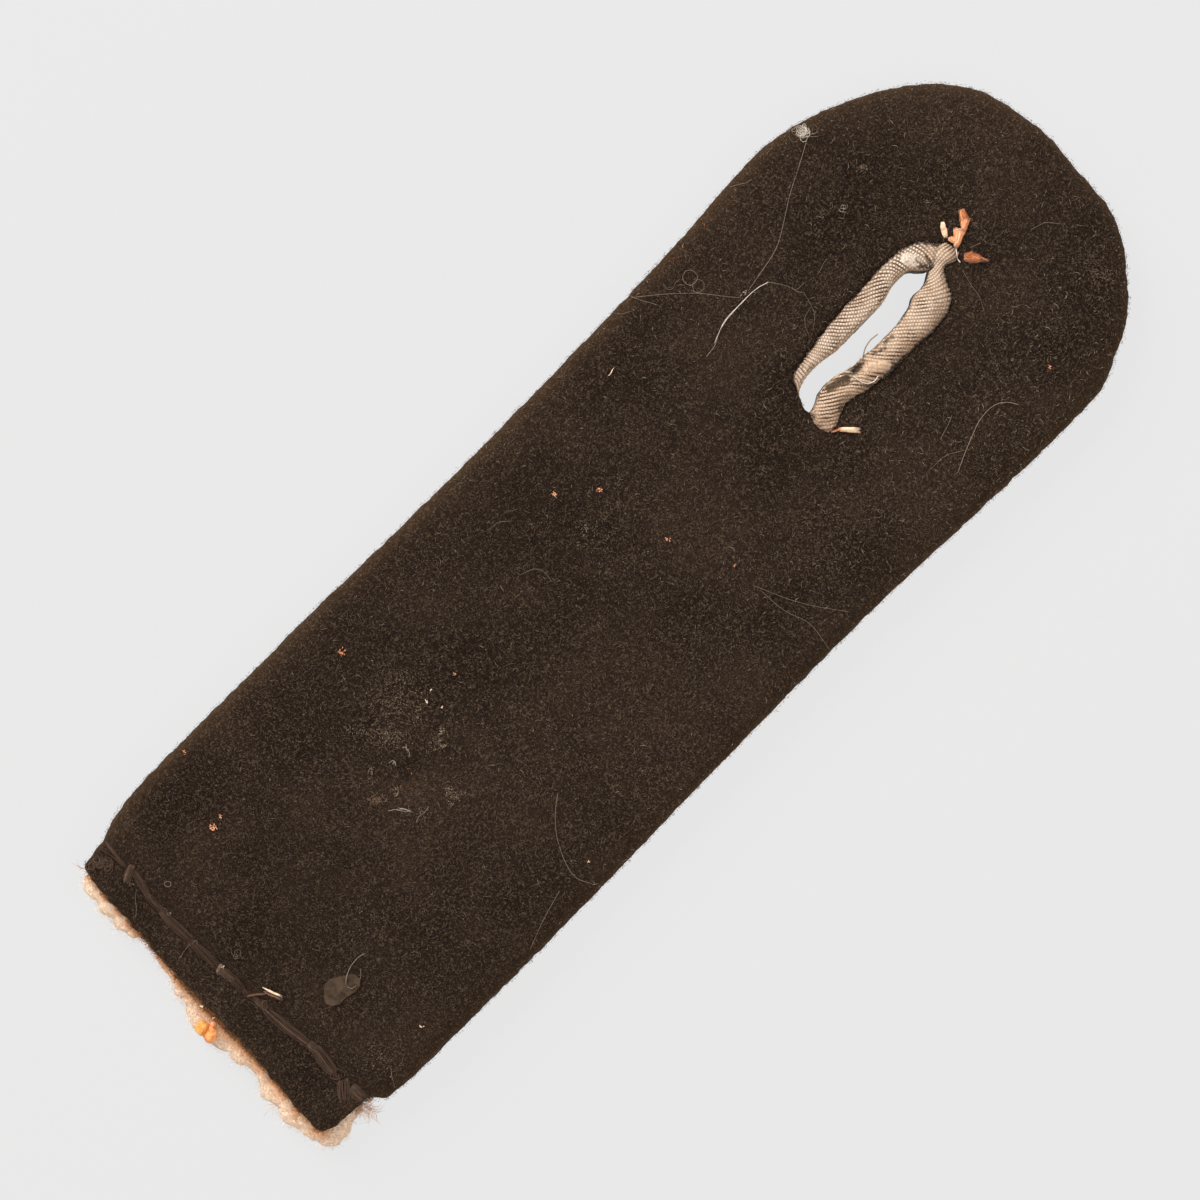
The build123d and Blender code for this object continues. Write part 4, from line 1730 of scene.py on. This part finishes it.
bead, *others = [ball(*row) for row in BALLS]
join_onto(bead, others)
bead.name = "orange_bead"
bead.data.materials.append(bead_finish())
bpy.ops.object.shade_smooth()
finish_piece(bead)

# %% [markdown]
# Hairs, lint and dust have settled on the cloth. The long ones are followed through a few points of the
# photograph. A hair is thinner than a pixel, so what matters is where it goes and how bright it is.

# %% Hairs
HAIRS = [
    # thickness in mm, tint, points in pixels
    (0.018, 0.52, [(807, 139), (799, 167), (790, 193), (782, 230), (777, 249), (764, 268), (748, 291)]),
    (0.028, 0.92, [(769, 282), (757, 288), (745, 299), (735, 310), (726, 320), (720, 330)]),
    (0.022, 0.85, [(752, 292), (742, 303), (731, 313), (723, 323), (718, 335), (714, 344)]),
    (0.018, 0.60, [(722, 326), (718, 335), (715, 346), (706, 357)]),
    (0.016, 0.46, [(768, 282), (778, 284), (790, 287), (797, 292), (803, 293)]),
    (0.014, 0.34, [(803, 292), (810, 303), (815, 315), (813, 330)]),
    (0.017, 0.50, [(630, 297), (647, 296), (663, 294), (692, 293), (707, 294), (726, 297), (742, 298)]),
    (0.016, 0.46, [(628, 294), (638, 299), (657, 305)]),
    (0.016, 0.44, [(614, 312), (622, 314), (630, 311)]),
    (0.015, 0.42, [(663, 284), (668, 290), (673, 289), (675, 283), (680, 279)]),
    (0.016, 0.50, [
        (692, 286), (685, 284), (682, 277), (686, 270), (693, 270), (698, 276), (696, 283), (689, 286),
    ]),
    (0.016, 0.48, [
        (690, 290), (697, 293), (704, 290), (704, 282), (698, 279), (692, 284), (694, 292), (703, 294),
    ]),
    (0.016, 0.46, [(730, 186), (739, 184), (746, 183), (752, 179)]),
    (0.022, 0.55, [(1020, 405), (1004, 401), (990, 407), (978, 422), (968, 445), (958, 472)]),
    (0.019, 0.46, [(558, 792), (555, 812), (556, 835), (563, 858), (574, 878), (592, 884)]),
    (0.016, 0.40, [(560, 890), (543, 920), (530, 950)]),
    (0.017, 0.38, [(760, 590), (785, 612), (810, 622), (830, 650)]),
    (0.016, 0.34, [(752, 585), (790, 600), (812, 606), (850, 612)]),
    (0.065, 0.50, [(878, 334), (870, 340), (865, 348), (862, 361)]),
    (0.016, 0.52, [(164, 884), (166, 881), (171, 882), (171, 886), (167, 887), (164, 884)]),
    (0.013, 0.34, [(135, 890), (134, 899), (136, 907), (135, 918)]),
    (0.024, 0.55, [(346, 988), (346, 978), (350, 967), (358, 957), (365, 953)]),
    (0.020, 0.50, [(347, 986), (352, 989), (358, 984), (361, 977), (361, 968)]),
    (0.014, 0.34, [(812, 340), (806, 330), (804, 318), (810, 308)]),
    (0.016, 0.46, [(817, 275), (821, 269), (823, 264), (827, 259)]),
    (0.015, 0.42, [(793, 290), (798, 289), (804, 283)]),
    (0.016, 0.36, [(962, 270), (970, 284), (979, 296), (984, 312)]),
    (0.017, 0.46, [(940, 440), (948, 425), (952, 415)]),
    (0.015, 0.36, [(930, 470), (945, 455), (965, 450)]),
    (0.016, 0.42, [(1030, 230), (1045, 222), (1060, 224)]),
    (0.015, 0.36, [(520, 575), (535, 568), (545, 572), (552, 582)]),
    (0.015, 0.34, [(488, 530), (498, 522), (512, 521)]),
    (0.048, 0.92, [(956, 247), (956, 252), (957, 258), (960, 263)]),
    (0.050, 0.85, [(853, 376), (857, 380), (862, 383), (868, 384), (874, 382), (878, 376)]),
    # This pale strand along the turned-up edge of the right lip is a painted highlight.
    (0.036, 0.72, [(820, 393), (824, 387), (830, 380), (837, 374), (844, 372), (853, 373)]),
    (0.022, 0.60, [(388, 811), (396, 809), (403, 811), (413, 812)]),
    (0.028, 0.78, [(400, 808), (405, 809), (411, 811)]),
    (0.018, 0.52, [(416, 823), (419, 816), (426, 811), (429, 806)]),
    (0.020, 0.56, [(406, 744), (407, 749), (410, 753), (409, 757)]),
    (0.024, 0.64, [(389, 763), (393, 760), (396, 763), (395, 766)]),
    (0.018, 0.48, [(368, 774), (370, 767), (374, 770)]),
    (0.016, 0.44, [(391, 1068), (392, 1078), (394, 1089)]),
    (0.014, 0.40, [(180, 958), (183, 952), (189, 945)]),
    (0.018, 0.50, [(970, 248), (974, 246), (981, 243)]),
]
LINT = [
    # px, py, radius in pixels, turns, strands, tint
    (803, 131, 6.0, 0.8, 26, 0.95),
    (798, 130, 11.0, 0.45, 9, 0.40),
    (812, 130, 11.0, 0.40, 7, 0.36),
    (238, 953, 5.0, 0.9, 3, 0.36),
    (843, 208, 4.0, 0.7, 5, 0.56),
]
HAIR_COLOURS = [
    (0.0, (0.045, 0.030, 0.018)),
    (0.5, (0.21, 0.150, 0.100)),
    (1.0, (0.74, 0.65, 0.54)),
]
HAIR_STEPS = 44
LINT_RADIUS = 0.014
OPEN_HEIGHT = 3.0


def smooth_path(points, count):
    """A smooth path through points."""
    table = np.array(points, float)
    travelled = distance_along(table)
    steps = np.linspace(0, travelled[-1], count)
    window = max(3, count // len(points)) | 1
    return np.array([smoothed(np.interp(steps, travelled, column), window) for column in table.T]).T


def lay_hair(points):
    """A hair that rises a little between the places where it touches, and bridges the buttonhole."""
    path = np.array([lay(px, py, 0.10) for px, py in smooth_path(points, HAIR_STEPS)])
    path[path[:, 2] < OPEN_HEIGHT, 2] = FACE_HEIGHT
    path[:, 2] += 0.12 * (1 + np.sin(np.linspace(0, 9, HAIR_STEPS) + random.uniform(0, 6)))
    return path


paths = np.array([lay_hair(points) for _, _, points in HAIRS])
radii = np.array([thickness for thickness, _, _ in HAIRS])
tints = np.array([tint for _, tint, _ in HAIRS])
hairs = make_strands("hairs", paths, radii, tints, sides=4)
add_tint_finish(hairs, "pale_hairs", 0.5, HAIR_COLOURS, 0.1, 0.4)
finish_piece(hairs)

# %% Tangles of lint
paths = np.concatenate([loops(*row[:5], 0.30) for row in LINT])
tints = np.concatenate([np.full(row[4], row[5]) for row in LINT])
tints = np.clip(tints + random.normal(0, 0.12, len(tints)), 0, 1)
lint = make_strands("lint", paths, random.uniform(0.8, 1.2, len(paths)) * LINT_RADIUS, tints)
lint.data.materials.append(hairs.data.materials[0])
finish_piece(lint)

# %% [markdown]
# Dust and lint are short fibres in loose heaps. A table gives each heap its place, its two radii, how many
# bits it has and how bright they are. A heap with a handful of thick bits reads as one speck. A bit that
# would fall through the buttonhole or past the edge is left out.

# %% Dust, lint and specks
HEAPS = [
    # px, py, radius right, radius down in pixels, bits, tint, length of the bits in mm
    (385, 737, 30, 12, 150, 0.50, 0.12),
    (392, 736, 12, 9, 70, 0.58, 0.12),
    (405, 695, 28, 20, 190, 0.50, 0.12),
    (398, 680, 12, 6, 40, 0.58, 0.14),
    (372, 700, 26, 22, 120, 0.46, 0.12),
    (355, 730, 14, 7, 60, 0.48, 0.14),
    (418, 716, 9, 12, 50, 0.58, 0.14),
    (441, 731, 3, 5, 34, 0.70, 0.14),
    (437, 742, 5, 5, 36, 0.62, 0.14),
    (443, 746, 4, 3, 22, 0.66, 0.14),
    (435, 750, 4, 2, 14, 0.55, 0.14),
    (448, 790, 5, 4, 44, 0.66, 0.13),
    (456, 797, 5, 5, 40, 0.58, 0.13),
    (450, 804, 4, 3, 24, 0.62, 0.13),
    (463, 793, 5, 3, 16, 0.52, 0.13),
    (396, 791, 5, 6, 40, 0.68, 0.16),
    (396, 776, 3, 2, 14, 0.60, 0.14),
    (376, 801, 6, 5, 60, 0.46, 0.16),
    (404, 809, 7, 2, 22, 0.72, 0.16),
    (425, 814, 8, 8, 26, 0.56, 0.18),
    # This heap is a painted highlight: the olive glint beside the tuft.
    (979, 227, 6, 2, 26, 0.22, 0.16),
    (393, 763, 3, 2, 8, 0.75, 0.30),
    (371, 772, 3, 5, 16, 0.55, 0.30),
    (407, 750, 3, 6, 8, 0.70, 0.35),
    (863, 168, 6, 3, 40, 0.48, 0.22),
    (824, 211, 6, 3, 16, 0.42, 0.30),
    (744, 293, 3, 3, 14, 0.80, 0.30),
    (1105, 275, 16, 9, 110, 0.32, 0.22),
    (1090, 260, 12, 10, 50, 0.25, 0.22),
    (600, 545, 40, 30, 110, 0.42, 0.18),
    (585, 530, 16, 12, 36, 0.55, 0.22),
    (640, 500, 60, 60, 130, 0.42, 0.18),
    (690, 640, 70, 60, 170, 0.40, 0.18),
    (780, 560, 60, 40, 100, 0.40, 0.18),
    (960, 180, 70, 50, 130, 0.42, 0.18),
    (990, 330, 40, 40, 50, 0.40, 0.18),
    (1000, 460, 60, 60, 100, 0.40, 0.18),
    (380, 1060, 22, 22, 100, 0.42, 0.20),
    (340, 940, 60, 50, 80, 0.40, 0.18),
    (560, 760, 120, 90, 200, 0.40, 0.18),
    (260, 800, 90, 70, 110, 0.42, 0.18),
]
DUST_COLOURS = [
    (0.0, (0.050, 0.030, 0.017)),
    (0.5, (0.200, 0.132, 0.080)),
    (1.0, (0.60, 0.50, 0.37)),
]
SPECKS = [
    # px, py, radius right, radius down in pixels, bits, tint of the orange ramp
    (427, 701, 2, 2, 8, 1.0),
    (431, 690, 1, 1, 3, 1.0),
    (442, 707, 1, 2, 6, 0.86),
    (454, 674, 2, 1, 7, 0.40),
    (421, 1027, 2, 1, 6, 0.80),
    (589, 861, 1, 1, 4, 0.80),
    (341, 653, 3, 3, 26, 0.52),
    (213, 828, 3, 2, 40, 0.60),
    (221, 816, 2, 2, 10, 0.50),
    (184, 752, 2, 2, 8, 0.40),
    (1050, 367, 2, 2, 8, 0.55),
    (408, 769, 2, 1, 4, 0.10),
    (412, 776, 2, 2, 4, 0.05),
    (555, 494, 3, 3, 18, 0.62),
    (599, 490, 3, 2, 16, 0.50),
    (668, 540, 3, 2, 12, 0.62),
    (735, 566, 2, 1, 5, 0.65),
    (200, 1007, 2, 1, 14, 0.98),
    (204, 1014, 2, 1, 8, 0.95),
    (212, 1019, 3, 1, 18, 0.98),
    (221, 969, 3, 2, 10, 0.90),
]
RED_BITS = [
    # px, py, radius right, radius down in pixels, bits, tint of the orange ramp
    (704, 219, 4, 12, 60, -0.02),
    (674, 258, 8, 8, 50, -0.02),
    (400, 787, 17, 11, 110, -0.12),
    (378, 800, 7, 5, 26, 0.02),
]
DUST_THICK = 0.024
SPECK_LENGTH, SPECK_THICK = 0.13, 0.070
RED_LENGTH, RED_THICK = 0.28, 0.019
ON_FELT = 0.30


def heap(px, py, right, down, count, tint, length, thickness):
    """Short bits of fibre strewn about a place, lying at any angle and a little on top of each other."""
    away = random.normal(0, 0.5, (count, 2)) * np.array([right, down])
    centres = np.array([lay(px + dx, py + dy, 0.03) for dx, dy in away])
    centres = centres[(centres[:, 2] > OPEN_HEIGHT) | (centres[:, 1] < CUT_PART)]
    count = len(centres)
    centres[:, 2] += random.uniform(0, 0.10, count) + ON_FELT * (centres[:, 1] < CUT_PART)
    headings = random.normal(0, 1, (count, 3)) * np.array([1, 1, 0.3])
    headings = unit(headings)
    lengths = random.gamma(4.0, length / 4.0, count)
    up = np.tile([0.0, 0.0, 1.0], (count, 1))
    paths = grow(centres, up, headings, lengths, random.normal(0, 1.5, count), 0.03)
    radii = random.uniform(0.6, 1.3, count) * thickness
    return paths, radii, np.clip(tint + random.normal(0, 0.12, count), 0, 1)


def make_heaps(name, rows, stops):
    parts = [heap(*row) for row in rows]
    paths, radii, tints = [np.concatenate(values) for values in zip(*parts)]
    piece = make_strands(name, paths, radii, tints, sides=4)
    add_tint_finish(piece, name, 0.8, stops, 0.1, 0.2)
    return piece


dust = make_heaps("dust", [(*row, DUST_THICK) for row in HEAPS], DUST_COLOURS)
finish_piece(dust)
rows = [(*row, SPECK_LENGTH, SPECK_THICK) for row in SPECKS]
rows += [(*row, RED_LENGTH, RED_THICK) for row in RED_BITS]
specks = make_heaps("orange_specks", rows, ORANGE_COLOURS)
finish_piece(specks)

# %% [markdown]
# A thin grey flake lies near the seam. The cloth can be seen through it, so it is a flat disc with a
# ragged outline and a finish that lets part of what is below through.

# %% The flake
FLAKE = [
    (324, 985), (324, 997), (326, 1004), (332, 1006), (340, 1004), (346, 997), (355, 992), (360, 986),
    (360, 979), (355, 974), (347, 975), (340, 976), (330, 979),
]
FLAKE_HEIGHT = 0.16
FLAKE_THICK = 0.05
FLAKE_DARK = (0.028, 0.0180, 0.0115)
FLAKE_PALE = (0.085, 0.055, 0.036)
flake = plate([Vector(lay(px, py, FLAKE_HEIGHT)) * MM for px, py in FLAKE], FLAKE_THICK)
flake.name = "flake"
bpy.ops.object.mode_set(mode="EDIT")
bpy.ops.mesh.quads_convert_to_tris()
bpy.ops.mesh.subdivide(number_cuts=2, fractal=0.6, seed=4)
bpy.ops.object.mode_set(mode="OBJECT")
flake_finish, shader, start = start_finish("grey_flake", 0.8, 0.0, (1, 1, 1), 0.03)
place = place_in_object(start)
film = cloudy(place, 0.7, 4.0)
plug(blend_colours(film, FLAKE_DARK, FLAKE_PALE), shader, "Base Color")
plug(rising(film, 0.30, 0.60) * 0.45 + 0.45, shader, "Alpha")
flake.data.materials.append(flake_finish)
finish_piece(flake)

# %% [markdown]
# The triangles of all the pieces are counted up.

# %% Count the triangles and finish
pieces = [piece for piece in bpy.data.objects if piece.type == "MESH" and "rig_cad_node" not in piece]
print("The pieces have", sum(triangles_in(piece) for piece in pieces), "triangles in all")
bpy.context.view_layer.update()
